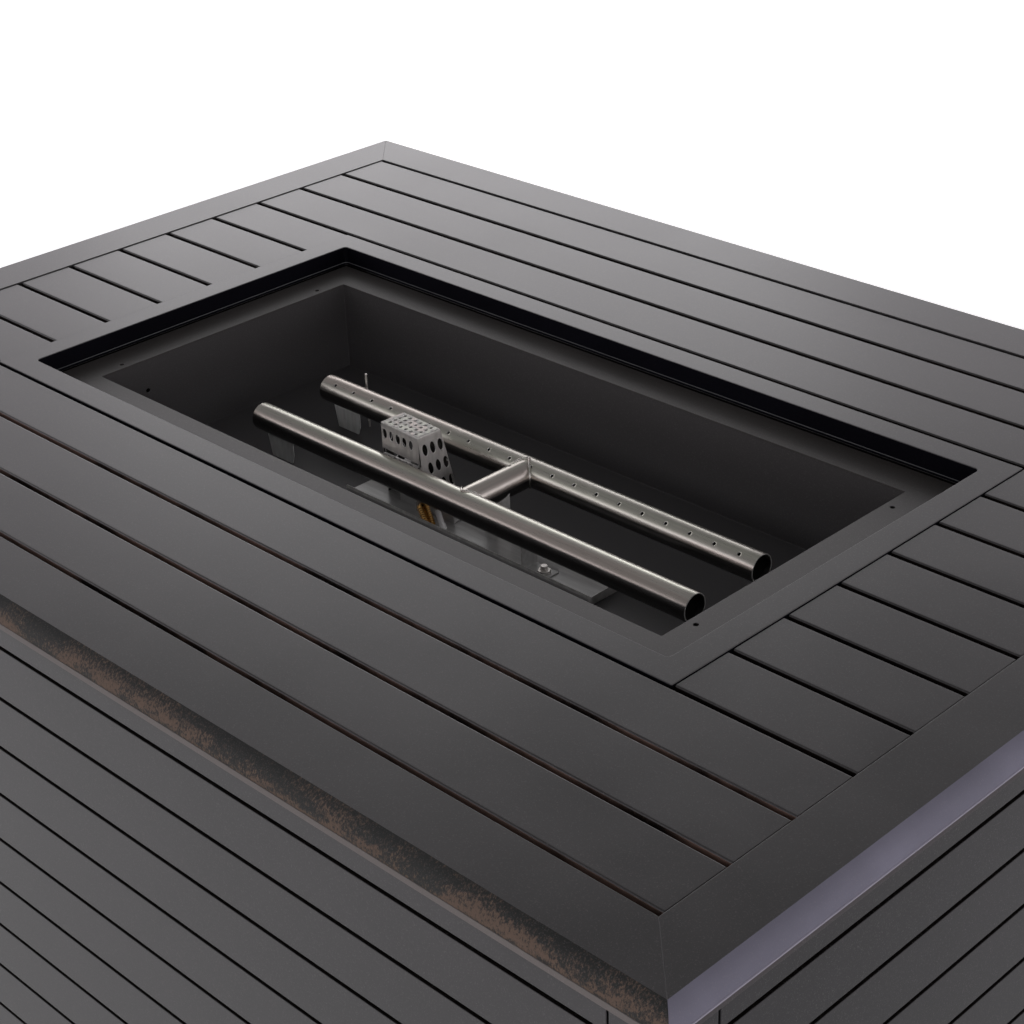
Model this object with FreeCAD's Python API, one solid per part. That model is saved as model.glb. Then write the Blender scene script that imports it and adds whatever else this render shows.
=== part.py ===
import FreeCAD
import Part
import math
import os

V = FreeCAD.Vector

# Fire pit table. Lengths in mm, +X along the table, +Z up, the face with the door and controls is +Y.
# The origin is on the floor under the centre of the top.

# Slatted top
table_height = 635.0
slat_width = 56.0
slat_gap = 4.5
first_gap = 5.5
last_gap = 2.5
slat_depth = 15.0
slat_wall = 1.6
slat_edge = 1.0
slat_drop = 0.8
slat_end_gap = 1.0
slats_behind = 3
slats_beside = 7
slats_before = 3
top_inner_length = 1108.0
board_flat = 49.0
board_nose = 10.0
board_depth = 22.0
board_wall = 2.0
board_lip = 5.0
board_lip_step = 0.8
nose_middle_out = 6.6
nose_middle_drop = 5.8
cross_rail_width = 25.0
cross_rail_depth = 18.0
tube_wall = 2.0

# Opening for the burner
surround_length = 806.0
surround_flange = 24.0
surround_gap_front = 2.5
surround_gap_back = 5.5
surround_corner = 4.0
ledge_width = 14.0
ledge_thickness = 2.5
pan_recess = 18.0
pan_sheet = 1.5
pan_fit = 2.0
pan_length = 676.0
pan_width = 292.0
pan_depth = 88.0
pan_corner = 3.0
pan_hole_radius = 2.2
pan_hole_out = 8.0
pan_hole_span = 236.0
vent_drop = 31.0
vent_off = 98.0

# H burner
burner_tube_radius = 12.7
burner_tube_wall = 1.2
burner_tube_length = 523.0
burner_tube_span = 81.5
burner_tube_lift = 37.7
burner_shift_x = 15.0
burner_shift_y = 3.8
cross_tube_shift = 4.0
port_radius = 1.8
port_pitch = 25.7
port_count = 20
port_rise_deg = 54.0
middle_port_left = 4.0
middle_port_front = 8.0
cross_bore_radius = 9.2
cap_thickness = 1.5
cap_recess = 5.0
leg_length = 36.0
leg_foot = 31.0
leg_inset = 1.0
leg_sheet = 1.5
leg_return = 10.0
leg_side_slope = 3.0
leg_corner = 9.0
coupling_radius = 13.0
nipple_radius = 9.0
hexagon_turn_deg = 15.0

# Mounting plate and pilot
plate_left = -128.0
plate_right = 168.0
plate_front = -41.0
plate_back = 4.0
plate_lip = 5.0
plate_sheet = 1.5
plate_hole_gap = 1.0
tab_left = 84.0
tab_width = 26.0
tab_depth = 18.0
tab_setback = 4.0
bolt_radius = 3.0
bolt_height = 7.0
bolt_head_radius = 6.0
bolt_head_height = 3.0
bolt_from_edge = 8.0
bolt_from_front = 9.0
locating_x = 32.0
locating_off = 6.0
locating_radius = 1.2
locating_height = 55.0
hood_left = -104.0
hood_width = 50.0
hood_front = -18.0
hood_top_depth = 27.0
hood_foot_depth = 45.5
hood_lift = 72.0
hood_sheet = 0.9
hood_face = 22.0
hood_slope = 49.0
side_slot_width = 7.0
side_slot_length = 15.0
side_slot_pitch_y = 9.0
side_slot_pitch_z = 19.3
side_slot_shift = 7.8
side_slot_first_y = 5.5
side_slot_first_z = 12.5
side_slot_rows = 3
side_slot_columns = 3
front_hole_radius = 3.5
front_hole_pitch = 8.8
front_hole_count = 5
front_hole_drop = 11.5
top_hole_radius = 1.6
top_hole_pitch_x = 7.0
top_hole_pitch_y = 5.8
top_holes_x = 6
top_holes_y = 4

orifice_radius = 7.0
orifice_height = 12.0
orifice_off = 16.0
bracket_setback = 3.0
bracket_height = 13.0
bracket_sheet = 1.5
pilot_head_radius = 5.0
pilot_head_height = 40.0
ceramic_radius = 3.4
ceramic_height = 18.0
electrode_radius = 0.9
electrode_height = 11.0
sensor_radius = 2.4
sensor_height = 20.0
sensor_shank = 12.0
sensor_tip_radius = 1.4
bracket_reach = 28.0
bracket_foot = 9.0
bracket_gap = 1.0
pilot_head_x = 8.0
pilot_slot = 4.0
pilot_slot_width = 2.0
ceramic_x = 18.0
sensor_x = 14.0

# Base
side_inset = 9.0
row_pitch = 51.0
row_gap = 3.5
rows = 11
side_slat_depth = 12.0
side_slat_wall = 1.4
side_end_gap = 1.0
post_size = 44.0
post_edge = 1.0
stile_size = 25.0
rail_setback = 0.5
floor_sheet = 1.5
floor_overlap = 6.0
floor_notch_gap = 1.0
vent_slot_length = 120.0
vent_slot_width = 10.0
vent_slot_pitch = 60.0
vent_slot_x = 360.0
vent_slot_y = 200.0
bottle_foot_radius = 104.0
bottle_stop_height = 8.0
bottle_stop_length = 40.0
bottle_stop_sheet = 3.0
bottle_centre_y = 215.0
foot_radius = 17.0
foot_height = 8.0
foot_stem_radius = 4.0
foot_stem_play = 0.06
foot_stem_spare = 10.0
plug_height = 12.0

# Door
door_width = 400.0
door_gap = 3.0
door_first_row = 2
door_tube = 20.0
door_sill_play = 2.0
jamb_setback = 3.0
header_gap = 4.0
door_frame_inset = 2.0
door_head_gap = 1.0
barrel_radius = 4.0
barrel_length = 42.0
hinge_leaf = 22.0
hinge_sheet = 2.0
hinge_pin_radius = 1.6
hinge_play = 0.05
hinge_end = 70.0
hinge_end_play = 0.3
hinge_leaf_start = 5.0
hinge_web_lap = 1.0
hinge_web_lift = 0.2
hinge_pin_inset = 1.0
magnet_length = 45.0
magnet_depth = 12.0
strike_sheet = 1.0
strike_gap = 0.5
pull_length = 70.0
pull_reach = 7.0
pull_width = 20.0
pull_inset = 2.0
pull_sheet = 1.5

# Controls
control_left = 240.0
control_width = 180.0
control_rows = 2
control_recess = 22.0
control_sheet = 2.0
control_fit = 1.0
control_setback = 1.0
knob_x = 300.0
knob_radius = 20.0
knob_height = 17.0
knob_skirt = 8.0
knob_bar = 10.0
knob_bar_inset = 2.0
knob_bar_edge = 2.0
knob_gap = 0.8
knob_travel = 3.0
pointer_width = 1.6
pointer_depth = 0.6
pointer_start = 6.7
stem_radius = 4.0
stem_play = 0.06
stem_flat = 1.5
stem_guide = 14.0
stem_socket = 12.0
spindle_hole_play = 1.5
valve_size = 30.0
valve_nose = 26.0
valve_drop = 34.0
nose_size = 20.0
nose_chamfer = 4.0
nose_lip = 2.0
cup_radius = 6.5
cup_length = 8.0
cup_gap = 0.5
cup_play = 0.1
hose_nut_radius = 9.0
hose_nut_height = 12.0
hose_thread_radius = 5.5
hose_thread_length = 18.0
igniter_x = 372.0
igniter_radius = 12.0
igniter_length = 68.0
igniter_wall = 2.0
bezel_width = 4.0
bezel_height = 3.0
button_radius = 9.5
button_height = 9.0
button_travel = 4.0
button_play = 0.4
battery_radius = 7.1
battery_length = 50.0

# Gas pipes
mixer_length = 42.0
mixer_turn_deg = 30.0
air_window_width = 8.0
air_window_low = 10.0
air_window_high = 4.0
feed_pipe_radius = 5.0
feed_pipe_drop = 25.0
feed_elbow = 13.0
pilot_pipe_radius = 3.0
pilot_pipe_drop = 11.5
pilot_pipe_off = 7.0
pilot_elbow = 8.0

# How far a cutting tool reaches past what it cuts
past = 1.0

# Worked out from the sizes above
pitch = slat_width + slat_gap
slat_rows = slats_behind + slats_beside + slats_before
top_inner_width = first_gap + slat_rows * pitch - slat_gap + last_gap
board_width = board_flat + board_nose
half_length = top_inner_length / 2 + board_width
half_width = top_inner_width / 2 + board_width
slat_top = table_height - slat_drop
first_slat_y = first_gap - top_inner_width / 2
surround_front = first_slat_y + slats_before * pitch - slat_gap + surround_gap_front
surround_back = first_slat_y + (slats_before + slats_beside) * pitch - surround_gap_back
surround_width = surround_back - surround_front
surround_centre_y = (surround_front + surround_back) / 2
surround_bottom = table_height - pan_recess - pan_sheet - ledge_thickness
pan_flange_top = table_height - pan_recess
pan_floor = pan_flange_top - pan_depth
burner_axis_z = pan_floor + burner_tube_lift
front_tube_y = burner_shift_y - burner_tube_span / 2
back_tube_y = burner_shift_y + burner_tube_span / 2
burner_left = burner_shift_x - burner_tube_length / 2
cross_tube_x = burner_shift_x + cross_tube_shift
plate_top = pan_floor + plate_sheet
hood_top = plate_top + hood_lift
bracket_y = hood_front - bracket_setback
pilot_x = hood_left + hood_width + orifice_off
pilot_y = bracket_y - orifice_radius * math.cos(math.pi / 6)
base_length = 2 * (half_length - side_inset)
base_width = 2 * (half_width - side_inset)
base_top = table_height - board_depth
base_bottom = table_height - (rows + 1) * row_pitch + row_gap / 2
lower_rail_width = post_size - side_slat_depth - rail_setback
rail_top = base_bottom + stile_size
face_y = base_width / 2
control_mid_z = table_height - (1 + control_rows / 2) * row_pitch
control_plate_y = face_y - control_recess
hinge_x = -door_width / 2 - door_gap / 2
hinge_y = face_y + barrel_radius
knob_back = control_plate_y + knob_travel + knob_gap
stem_front = knob_back + stem_socket


def block(x0, x1, y0, y1, z0, z1):
    return Part.makeBox(x1 - x0, y1 - y0, z1 - z0, V(x0, y0, z0))


def rod(radius, start, end):
    axis = end - start
    return Part.makeCylinder(radius, axis.Length, start, axis)


def along(shape, axis):
    picked = []
    for edge in shape.Edges:
        if abs(edge.tangentAt(edge.FirstParameter).dot(axis)) > 0.999:
            picked.append(edge)
    return picked


def round_block(x0, x1, y0, y1, z0, z1, radius):
    shape = block(x0, x1, y0, y1, z0, z1)
    return shape.makeFillet(radius, along(shape, V(0, 0, 1)))


def open_bar(size, axis, wall, edge=0.0):
    """Rectangular tube, open at both ends along the axis; size is x0, x1, y0, y1, z0, z1."""
    outer = block(*size)
    if edge:
        outer = outer.makeChamfer(edge, along(outer, axis))
    inset = [wall * (1 - abs(part)) for part in (axis.x, axis.y, axis.z)]
    x0, x1, y0, y1, z0, z1 = size
    bore = block(
        x0 + inset[0], x1 - inset[0], y0 + inset[1], y1 - inset[1], z0 + inset[2], z1 - inset[2]
    )
    return outer.cut(bore)


def prism(points, move):
    """Extrudes the closed outline through the points along the move vector."""
    wire = Part.makePolygon(points + [points[0]])
    return Part.Face(wire).extrude(move)


def hexagon(centre, radius, turn_deg=0.0):
    points = []
    for i in range(6):
        turn = math.radians(60 * i + turn_deg)
        points.append(centre + V(radius * math.cos(turn), radius * math.sin(turn), 0))
    return points


def faceted(radius, start, end, sides=12):
    """Many-sided bar for small round pieces; its corners lie at the radius."""
    axis = end - start
    side = V(0, 0, 1) if abs(axis.z) < 0.5 * axis.Length else V(1, 0, 0)
    side = (side - axis * (side.dot(axis) / axis.dot(axis))).normalize()
    other = axis.cross(side).normalize()
    points = []
    for i in range(sides):
        turn = 2 * math.pi * (i + 0.5) / sides
        points.append(start + side * (radius * math.cos(turn)) + other * (radius * math.sin(turn)))
    return prism(points, axis)


def flat_sided(radius, start, end, sides=12):
    """Many-sided bar whose flats lie at the radius, so as a cutter it clears a round bar."""
    return faceted(radius / math.cos(math.pi / sides), start, end, sides)


def turned(shape, degrees):
    copy = shape.copy()
    copy.rotate(V(0, 0, 0), V(0, 0, 1), degrees)
    return copy


def save(name, shapes):
    solids = shapes if isinstance(shapes, list) else [shapes]
    Part.makeCompound(solids).exportStep("parts/" + name + ".step")


X_AXIS = V(1, 0, 0)
Y_AXIS = V(0, 1, 0)
Z_AXIS = V(0, 0, 1)


def perimeter_board(length, reach):
    """Hollow board with a rounded outer nose and a thin lower lip, mitred at both ends.
    It lies along X with its outer edge at y = -reach."""
    outer_u = board_width
    nose_u = board_width - board_lip_step
    lip_v = -board_depth + board_lip
    mid_u = board_flat + nose_middle_out
    mid_v = -nose_middle_drop

    def at(u, v, x):
        return V(x, -reach + board_width - u, table_height + v)

    x0 = -length / 2
    nose = Part.Arc(at(board_flat, 0, x0), at(mid_u, mid_v, x0), at(nose_u, lip_v, x0))
    edges = [
        Part.LineSegment(at(0, 0, x0), at(board_flat, 0, x0)).toShape(),
        nose.toShape(),
        Part.LineSegment(at(nose_u, lip_v, x0), at(outer_u, lip_v, x0)).toShape(),
        Part.LineSegment(at(outer_u, lip_v, x0), at(outer_u, -board_depth, x0)).toShape(),
        Part.LineSegment(at(outer_u, -board_depth, x0), at(0, -board_depth, x0)).toShape(),
        Part.LineSegment(at(0, -board_depth, x0), at(0, 0, x0)).toShape(),
    ]
    board = Part.Face(Part.Wire(edges)).extrude(V(length, 0, 0))
    wall = board_wall
    bore = [
        at(wall, -wall, x0),
        at(board_flat - wall / 2, -wall, x0),
        at(mid_u - wall, mid_v - wall, x0),
        at(nose_u - wall, lip_v, x0),
        at(nose_u - wall, -board_depth + wall, x0),
        at(wall, -board_depth + wall, x0),
    ]
    board = board.cut(prism(bore, V(length, 0, 0)))
    half = length / 2
    floor_z = table_height - board_depth - past
    plan = [
        V(-half, -reach, floor_z),
        V(half, -reach, floor_z),
        V(half - board_width, -reach + board_width, floor_z),
        V(-half + board_width, -reach + board_width, floor_z),
    ]
    return board.common(prism(plan, V(0, 0, board_depth + 2 * past)))


def perimeter():
    long_board = perimeter_board(2 * half_length, half_width)
    short_board = perimeter_board(2 * half_width, half_length)
    save("top_board_front", turned(long_board, 0))
    save("top_board_back", turned(long_board, 180))
    save("top_board_right", turned(short_board, 90))
    save("top_board_left", turned(short_board, -90))


def slat(x0, x1, index):
    """One slat of the top; index 0 lies against the front board."""
    y0 = first_slat_y + index * pitch
    size = (x0, x1, y0, y0 + slat_width, slat_top - slat_depth, slat_top)
    return open_bar(size, X_AXIS, slat_wall, slat_edge)


def top_slats():
    half = top_inner_length / 2
    left = -half + slat_end_gap
    right = half - slat_end_gap
    ring = surround_length / 2
    beside = range(slats_before, slats_before + slats_beside)
    behind = range(slats_before + slats_beside, slat_rows)
    save("long_slats_front", [slat(left, right, i) for i in range(slats_before)])
    save("long_slats_back", [slat(left, right, i) for i in behind])
    save("short_slats_left", [slat(left, -ring - slat_end_gap, i) for i in beside])
    save("short_slats_right", [slat(ring + slat_end_gap, right, i) for i in beside])


def cross_rails():
    """Four tubes under the slats: one beside each end board and one beside each end of the surround."""
    z1 = slat_top - slat_depth
    rails = []
    for x0 in (
        -top_inner_length / 2,
        -surround_length / 2 - cross_rail_width,
        surround_length / 2,
        top_inner_length / 2 - cross_rail_width,
    ):
        size = (
            x0, x0 + cross_rail_width, -top_inner_width / 2, top_inner_width / 2,
            z1 - cross_rail_depth, z1,
        )
        rails.append(open_bar(size, Y_AXIS, tube_wall))
    save("cross_rails", rails)


def burner_surround():
    """Box-section ring welded from tube, with an inner ledge that the pan rests on."""
    hx = surround_length / 2
    hy = surround_width / 2
    cy = surround_centre_y
    ring = block(-hx, hx, cy - hy, cy + hy, surround_bottom, table_height)
    ox = hx - surround_flange
    oy = hy - surround_flange
    ledge_top = surround_bottom + ledge_thickness
    opening = round_block(
        -ox, ox, cy - oy, cy + oy, ledge_top, table_height + past, surround_corner
    )
    lx = ox - ledge_width
    ly = oy - ledge_width
    through = block(-lx, lx, cy - ly, cy + ly, surround_bottom - past, ledge_top + past)
    wall = tube_wall
    low = surround_bottom + wall
    high = table_height - wall
    hollow = block(-hx + wall, hx - wall, cy - hy + wall, cy + hy - wall, low, high)
    core = block(-ox - wall, ox + wall, cy - oy - wall, cy + oy + wall, low - past, high + past)
    save("burner_surround", ring.cut(opening).cut(through).cut(hollow.cut(core)))


def burner_pan():
    """Folded sheet pan with a wide flange, vertical walls and a drilled floor."""
    cy = surround_centre_y
    fx = surround_length / 2 - surround_flange - pan_fit
    fy = surround_width / 2 - surround_flange - pan_fit
    low = pan_flange_top - pan_sheet
    flange = round_block(-fx, fx, cy - fy, cy + fy, low, pan_flange_top, surround_corner)
    px = pan_length / 2
    py = pan_width / 2
    sheet = pan_sheet
    body = round_block(
        -px - sheet, px + sheet, cy - py - sheet, cy + py + sheet, pan_floor - sheet, low,
        pan_corner + sheet,
    )
    cavity = round_block(
        -px, px, cy - py, cy + py, pan_floor, pan_flange_top + past, pan_corner
    )
    pan = flange.fuse(body).cut(cavity).removeSplitter()
    holes = []
    for x in (-px - pan_hole_out, px + pan_hole_out):
        for y in (-pan_hole_span / 2, pan_hole_span / 2):
            hole = V(x, cy + y, low)
            holes.append(faceted(pan_hole_radius, hole - V(0, 0, past), hole + V(0, 0, sheet + past), 8))
    vent = V(-px, cy - vent_off, pan_flange_top - vent_drop)
    vent_out = vent - V(sheet + past, 0, 0)
    holes.append(faceted(pan_hole_radius, vent_out, vent + V(past, 0, 0), 8))
    below = V(0, 0, pan_floor - sheet - past)
    above = V(0, 0, pan_floor + past)
    inlet = V(cross_tube_x, burner_shift_y, 0)
    holes.append(faceted(nipple_radius, inlet + below, inlet + above, 16))
    pilot = V(pilot_x, pilot_y, 0)
    holes.append(faceted(pilot_pipe_radius, pilot + below, pilot + above))
    for hole in holes:
        pan = pan.cut(hole)
    save("burner_pan", pan)


def port(start, aim, length):
    """Flame port punched along the aim; six-sided."""
    side = V(1, 0, 0)
    other = aim.cross(side)
    points = []
    for i in range(6):
        turn = math.radians(60 * i)
        points.append(start + side * (port_radius * math.cos(turn)) + other * (port_radius * math.sin(turn)))
    return prism(points, aim * length)


def main_tube(y, inward):
    """One ported tube of the H; inward is +1 or -1 towards the other tube."""
    start = V(burner_left, y, burner_axis_z)
    end = start + V(burner_tube_length, 0, 0)
    tube = rod(burner_tube_radius, start, end)
    inner = burner_tube_radius - burner_tube_wall
    rise = math.radians(port_rise_deg)
    aim = V(0, inward * math.cos(rise), math.sin(rise))
    first = burner_left + (burner_tube_length - (port_count - 1) * port_pitch) / 2
    tools = [faceted(inner, start, end, 16)]
    joint = V(cross_tube_x, y, burner_axis_z)
    mouth = joint + V(0, inward * (burner_tube_radius + past), 0)
    tools.append(faceted(cross_bore_radius, joint, mouth, 8))
    for i in range(port_count):
        centre = V(first + i * port_pitch, y, burner_axis_z)
        tools.append(port(centre + aim * (inner - past), aim, burner_tube_wall + 2 * past))
    for tool in tools:
        tube = tube.cut(tool)
    return tube


def burner_tubes():
    save("burner_tube_front", main_tube(front_tube_y, 1))
    save("burner_tube_back", main_tube(back_tube_y, -1))
    inner = burner_tube_radius - burner_tube_wall
    start = V(cross_tube_x, front_tube_y, burner_axis_z)
    end = V(cross_tube_x, back_tube_y, burner_axis_z)
    cross = rod(burner_tube_radius, start, end)
    for y in (front_tube_y, back_tube_y):
        axis_start = V(burner_left, y, burner_axis_z)
        cross = cross.cut(
            rod(burner_tube_radius, axis_start, axis_start + V(burner_tube_length, 0, 0))
        )
    port_y = back_tube_y - burner_tube_radius - middle_port_front
    middle_port = V(cross_tube_x - middle_port_left, port_y, burner_axis_z)
    cross = cross.cut(port(middle_port, V(0, 0, 1), burner_tube_radius + past))
    save("burner_cross_tube", cross)
    caps = []
    for y in (front_tube_y, back_tube_y):
        for x in (
            burner_left + cap_recess,
            burner_left + burner_tube_length - cap_recess - cap_thickness,
        ):
            base = V(x, y, burner_axis_z)
            caps.append(faceted(inner, base, base + V(cap_thickness, 0, 0), 16))
    save("tube_end_caps", caps)


def burner_legs():
    """Bent sheet legs under the left ends of both tubes, coped to the tube, with a narrow return."""
    legs = []
    x0 = burner_left + leg_inset
    right = x0 + leg_length
    foot_x = right - leg_foot + leg_side_slope
    high = burner_axis_z
    for y in (front_tube_y, back_tube_y):
        outline = [
            V(x0, y, high),
            V(right + leg_side_slope, y, high),
            V(right + leg_side_slope, y, pan_floor + leg_corner),
            V(right, y, pan_floor),
            V(foot_x, y, pan_floor),
        ]
        web = prism(outline, V(0, leg_sheet, 0))
        side = [
            V(x0, y, high),
            V(x0 + leg_sheet, y, high),
            V(foot_x + leg_sheet, y, pan_floor),
            V(foot_x, y, pan_floor),
        ]
        fold = prism(side, V(0, leg_return, 0))
        leg = web.fuse(fold)
        start = V(burner_left, y, burner_axis_z)
        leg = leg.cut(rod(burner_tube_radius, start, start + V(burner_tube_length, 0, 0)))
        legs.append(max(leg.Solids, key=lambda solid: solid.Volume))
    save("burner_legs", legs)


def coupling():
    """Hexagonal socket under the cross tube; the mixer's nipple comes up into it through the pan."""
    centre = V(cross_tube_x, burner_shift_y, pan_floor)
    body = prism(hexagon(centre, coupling_radius, hexagon_turn_deg), V(0, 0, burner_axis_z - pan_floor))
    start = V(cross_tube_x, front_tube_y, burner_axis_z)
    body = body.cut(rod(burner_tube_radius, start, V(cross_tube_x, back_tube_y, burner_axis_z)))
    save("inlet_coupling", max(body.Solids, key=lambda solid: solid.Volume))


def mount_plate():
    """Folded strip on the pan floor, upturned at its front and right edges, with an upright tab
    that bears on the front tube."""
    lip_top = pan_floor + plate_lip
    plate = block(plate_left, plate_right, plate_front, plate_back, pan_floor, plate_top)
    front = block(plate_left, plate_right, plate_front, plate_front + plate_sheet, pan_floor, lip_top)
    end = block(plate_right - plate_sheet, plate_right, plate_front, plate_back, pan_floor, lip_top)
    plate = plate.fuse(front).fuse(end)
    through = V(0, 0, plate_sheet + 2 * past)
    hole = V(cross_tube_x, burner_shift_y, pan_floor - past)
    wide = coupling_radius + plate_hole_gap
    plate = plate.cut(prism(hexagon(hole, wide, hexagon_turn_deg), through))
    pilot = V(pilot_x, pilot_y, pan_floor - past)
    plate = plate.cut(prism(hexagon(pilot, pilot_pipe_radius + plate_hole_gap), through))
    tab_y = front_tube_y + tab_setback
    tab_back = tab_y + tab_depth
    tab = block(tab_left, tab_left + plate_sheet, tab_y, tab_back, plate_top, burner_axis_z)
    foot_top = plate_top + plate_sheet
    foot = block(tab_left, tab_left + tab_width, tab_y, tab_back, plate_top, foot_top)
    start = V(burner_left, front_tube_y, burner_axis_z)
    tube = rod(burner_tube_radius, start, start + V(burner_tube_length, 0, 0))
    bracket = tab.fuse(foot).cut(tube)
    bracket = max(bracket.Solids, key=lambda solid: solid.Volume)
    save("burner_mount_plate", plate.fuse(bracket).removeSplitter())
    bolt = V(tab_left + tab_width - bolt_from_edge, tab_y + bolt_from_front, foot_top)
    head = prism(hexagon(bolt, bolt_head_radius), V(0, 0, bolt_head_height))
    tip = faceted(bolt_radius, bolt + V(0, 0, bolt_head_height), bolt + V(0, 0, bolt_height))
    pin = V(burner_left + locating_x, back_tube_y + burner_tube_radius + locating_off, pan_floor)
    locating = faceted(locating_radius, pin, pin + V(0, 0, locating_height), 8)
    save("burner_fixings", [head.fuse(tip), locating])


def side_profile(inset):
    """Outline of the hood in the YZ plane, drawn in by inset on the front, top and back."""
    y0 = hood_front + inset
    top = hood_top - inset
    back = hood_front + hood_top_depth - inset
    foot = hood_front + hood_foot_depth - inset
    knee = hood_top - hood_slope
    return [
        (y0, plate_top), (y0, top), (back, top), (foot, knee), (foot, plate_top),
    ]


def slot_outline(middle):
    """Round-ended slot in the YZ plane, leaning with the back edge of the hood."""
    tilt = math.atan2(side_slot_shift, side_slot_pitch_z)
    down = V(0, math.sin(tilt), -math.cos(tilt))
    side = V(0, math.cos(tilt), math.sin(tilt))
    radius = side_slot_width / 2
    straight = (side_slot_length - side_slot_width) / 2
    points = []
    for way in (1, -1):
        for i in range(4):
            turn = math.pi * i / 3
            offset = side * (way * radius * math.cos(turn))
            points.append(middle + offset + down * (way * (straight + radius * math.sin(turn))))
    return points


def pilot_hood():
    """Perforated sheet hood over the pilot: wedge-shaped sides, open below and along the lower front."""
    x0 = hood_left
    x1 = hood_left + hood_width
    hood = prism([V(x0, y, z) for y, z in side_profile(0.0)], V(hood_width, 0, 0))
    inner = side_profile(hood_sheet)
    inside = [V(x0 + hood_sheet, y, z if z > plate_top else z - past) for y, z in inner]
    hood = hood.cut(prism(inside, V(hood_width - 2 * hood_sheet, 0, 0)))
    mouth_top = hood_top - hood_face
    mouth = block(
        x0 + hood_sheet, x1 - hood_sheet, hood_front - past, hood_front + hood_sheet + past,
        plate_top - past, mouth_top,
    )
    hood = hood.cut(mouth)
    tools = []
    first_x = x0 + hood_width / 2 - (front_hole_count - 1) / 2 * front_hole_pitch
    hole_z = hood_top - front_hole_drop
    for i in range(front_hole_count):
        start = V(first_x + i * front_hole_pitch, hood_front - past, hole_z)
        tools.append(faceted(front_hole_radius, start, start + V(0, hood_sheet + 2 * past, 0), 10))
    across = V(hood_width + 2 * past, 0, 0)
    for row in range(side_slot_rows):
        for column in range(side_slot_columns):
            across_y = side_slot_first_y + column * side_slot_pitch_y + row * side_slot_shift
            z = hood_top - side_slot_first_z - row * side_slot_pitch_z
            tools.append(prism(slot_outline(V(x0 - past, hood_front + across_y, z)), across))
    for column in range(top_holes_x):
        for row in range(top_holes_y):
            x = x0 + hood_width / 2 + (column - (top_holes_x - 1) / 2) * top_hole_pitch_x
            y = hood_front + hood_top_depth / 2 + (row - (top_holes_y - 1) / 2) * top_hole_pitch_y
            outline = hexagon(V(x, y, hood_top - hood_sheet - past), top_hole_radius)
            tools.append(prism(outline, V(0, 0, hood_sheet + 2 * past)))
    for tool in tools:
        hood = hood.cut(tool)
    save("pilot_hood", hood)


def pilot_parts():
    """Pilot burner, its orifice nut, the spark electrode in its ceramic and the flame sensor,
    all clamped against one upright bracket."""
    low = plate_top
    front = bracket_y
    back = front + bracket_sheet
    left = hood_left + hood_width / 2
    right = pilot_x + bracket_reach
    upright = block(left, right, front, back, low, low + bracket_height)
    beside_hood = hood_left + hood_width + bracket_gap
    foot = block(beside_hood, right, front, front + bracket_foot, low, low + bracket_sheet)
    save("pilot_bracket", upright.fuse(foot).removeSplitter())
    nut = hexagon(V(pilot_x, pilot_y, low), orifice_radius)
    save("pilot_orifice", prism(nut, V(0, 0, orifice_height)))
    head = V(left + pilot_head_x, back + pilot_head_radius, low)
    body = faceted(pilot_head_radius, head, head + V(0, 0, pilot_head_height))
    slot_top = head.z + pilot_head_height - pilot_slot
    slot = block(
        head.x - pilot_head_radius, head.x + pilot_head_radius, head.y - pilot_slot_width / 2,
        head.y + pilot_slot_width / 2, slot_top - pilot_slot, slot_top,
    )
    save("pilot_burner", body.cut(slot))
    ceramic = V(pilot_x + ceramic_x, front - ceramic_radius, low)
    top = ceramic + V(0, 0, ceramic_height)
    save("electrode_ceramic", faceted(ceramic_radius, ceramic, top))
    save("spark_electrode", faceted(electrode_radius, top, top + V(0, 0, electrode_height), 8))
    sensor = V(pilot_x - sensor_x, front - sensor_radius, low)
    shoulder = sensor + V(0, 0, sensor_shank)
    shank = faceted(sensor_radius, sensor, shoulder)
    tip = faceted(sensor_tip_radius, shoulder, sensor + V(0, 0, sensor_height))
    save("flame_sensor", shank.fuse(tip))


def elbowed(points, radius, elbow, sides):
    """Straight pipe runs joined by square elbow blocks at the corners."""
    shape = None
    for i in range(len(points) - 1):
        run = faceted(radius, points[i], points[i + 1], sides)
        shape = run if shape is None else shape.fuse(run)
    for corner in points[1:-1]:
        half = elbow / 2
        body = block(
            corner.x - half, corner.x + half, corner.y - half, corner.y + half, corner.z - half,
            corner.z + half,
        )
        shape = shape.fuse(body)
    return shape.removeSplitter()


def air_mixer():
    """Hexagonal venturi body under the pan with an air window; its nipple goes up into the pan."""
    under = pan_floor - pan_sheet
    low = V(cross_tube_x, burner_shift_y, under - mixer_length)
    body = prism(hexagon(low, coupling_radius, mixer_turn_deg), V(0, 0, mixer_length))
    neck_start = V(low.x, low.y, under)
    neck = faceted(nipple_radius, neck_start, neck_start + V(0, 0, pan_sheet), 16)
    half = air_window_width / 2
    window = block(
        low.x - half, low.x + half, low.y - coupling_radius, low.y + coupling_radius,
        under - air_window_low, under - air_window_high,
    )
    save("air_mixer", body.fuse(neck).cut(window))


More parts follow.
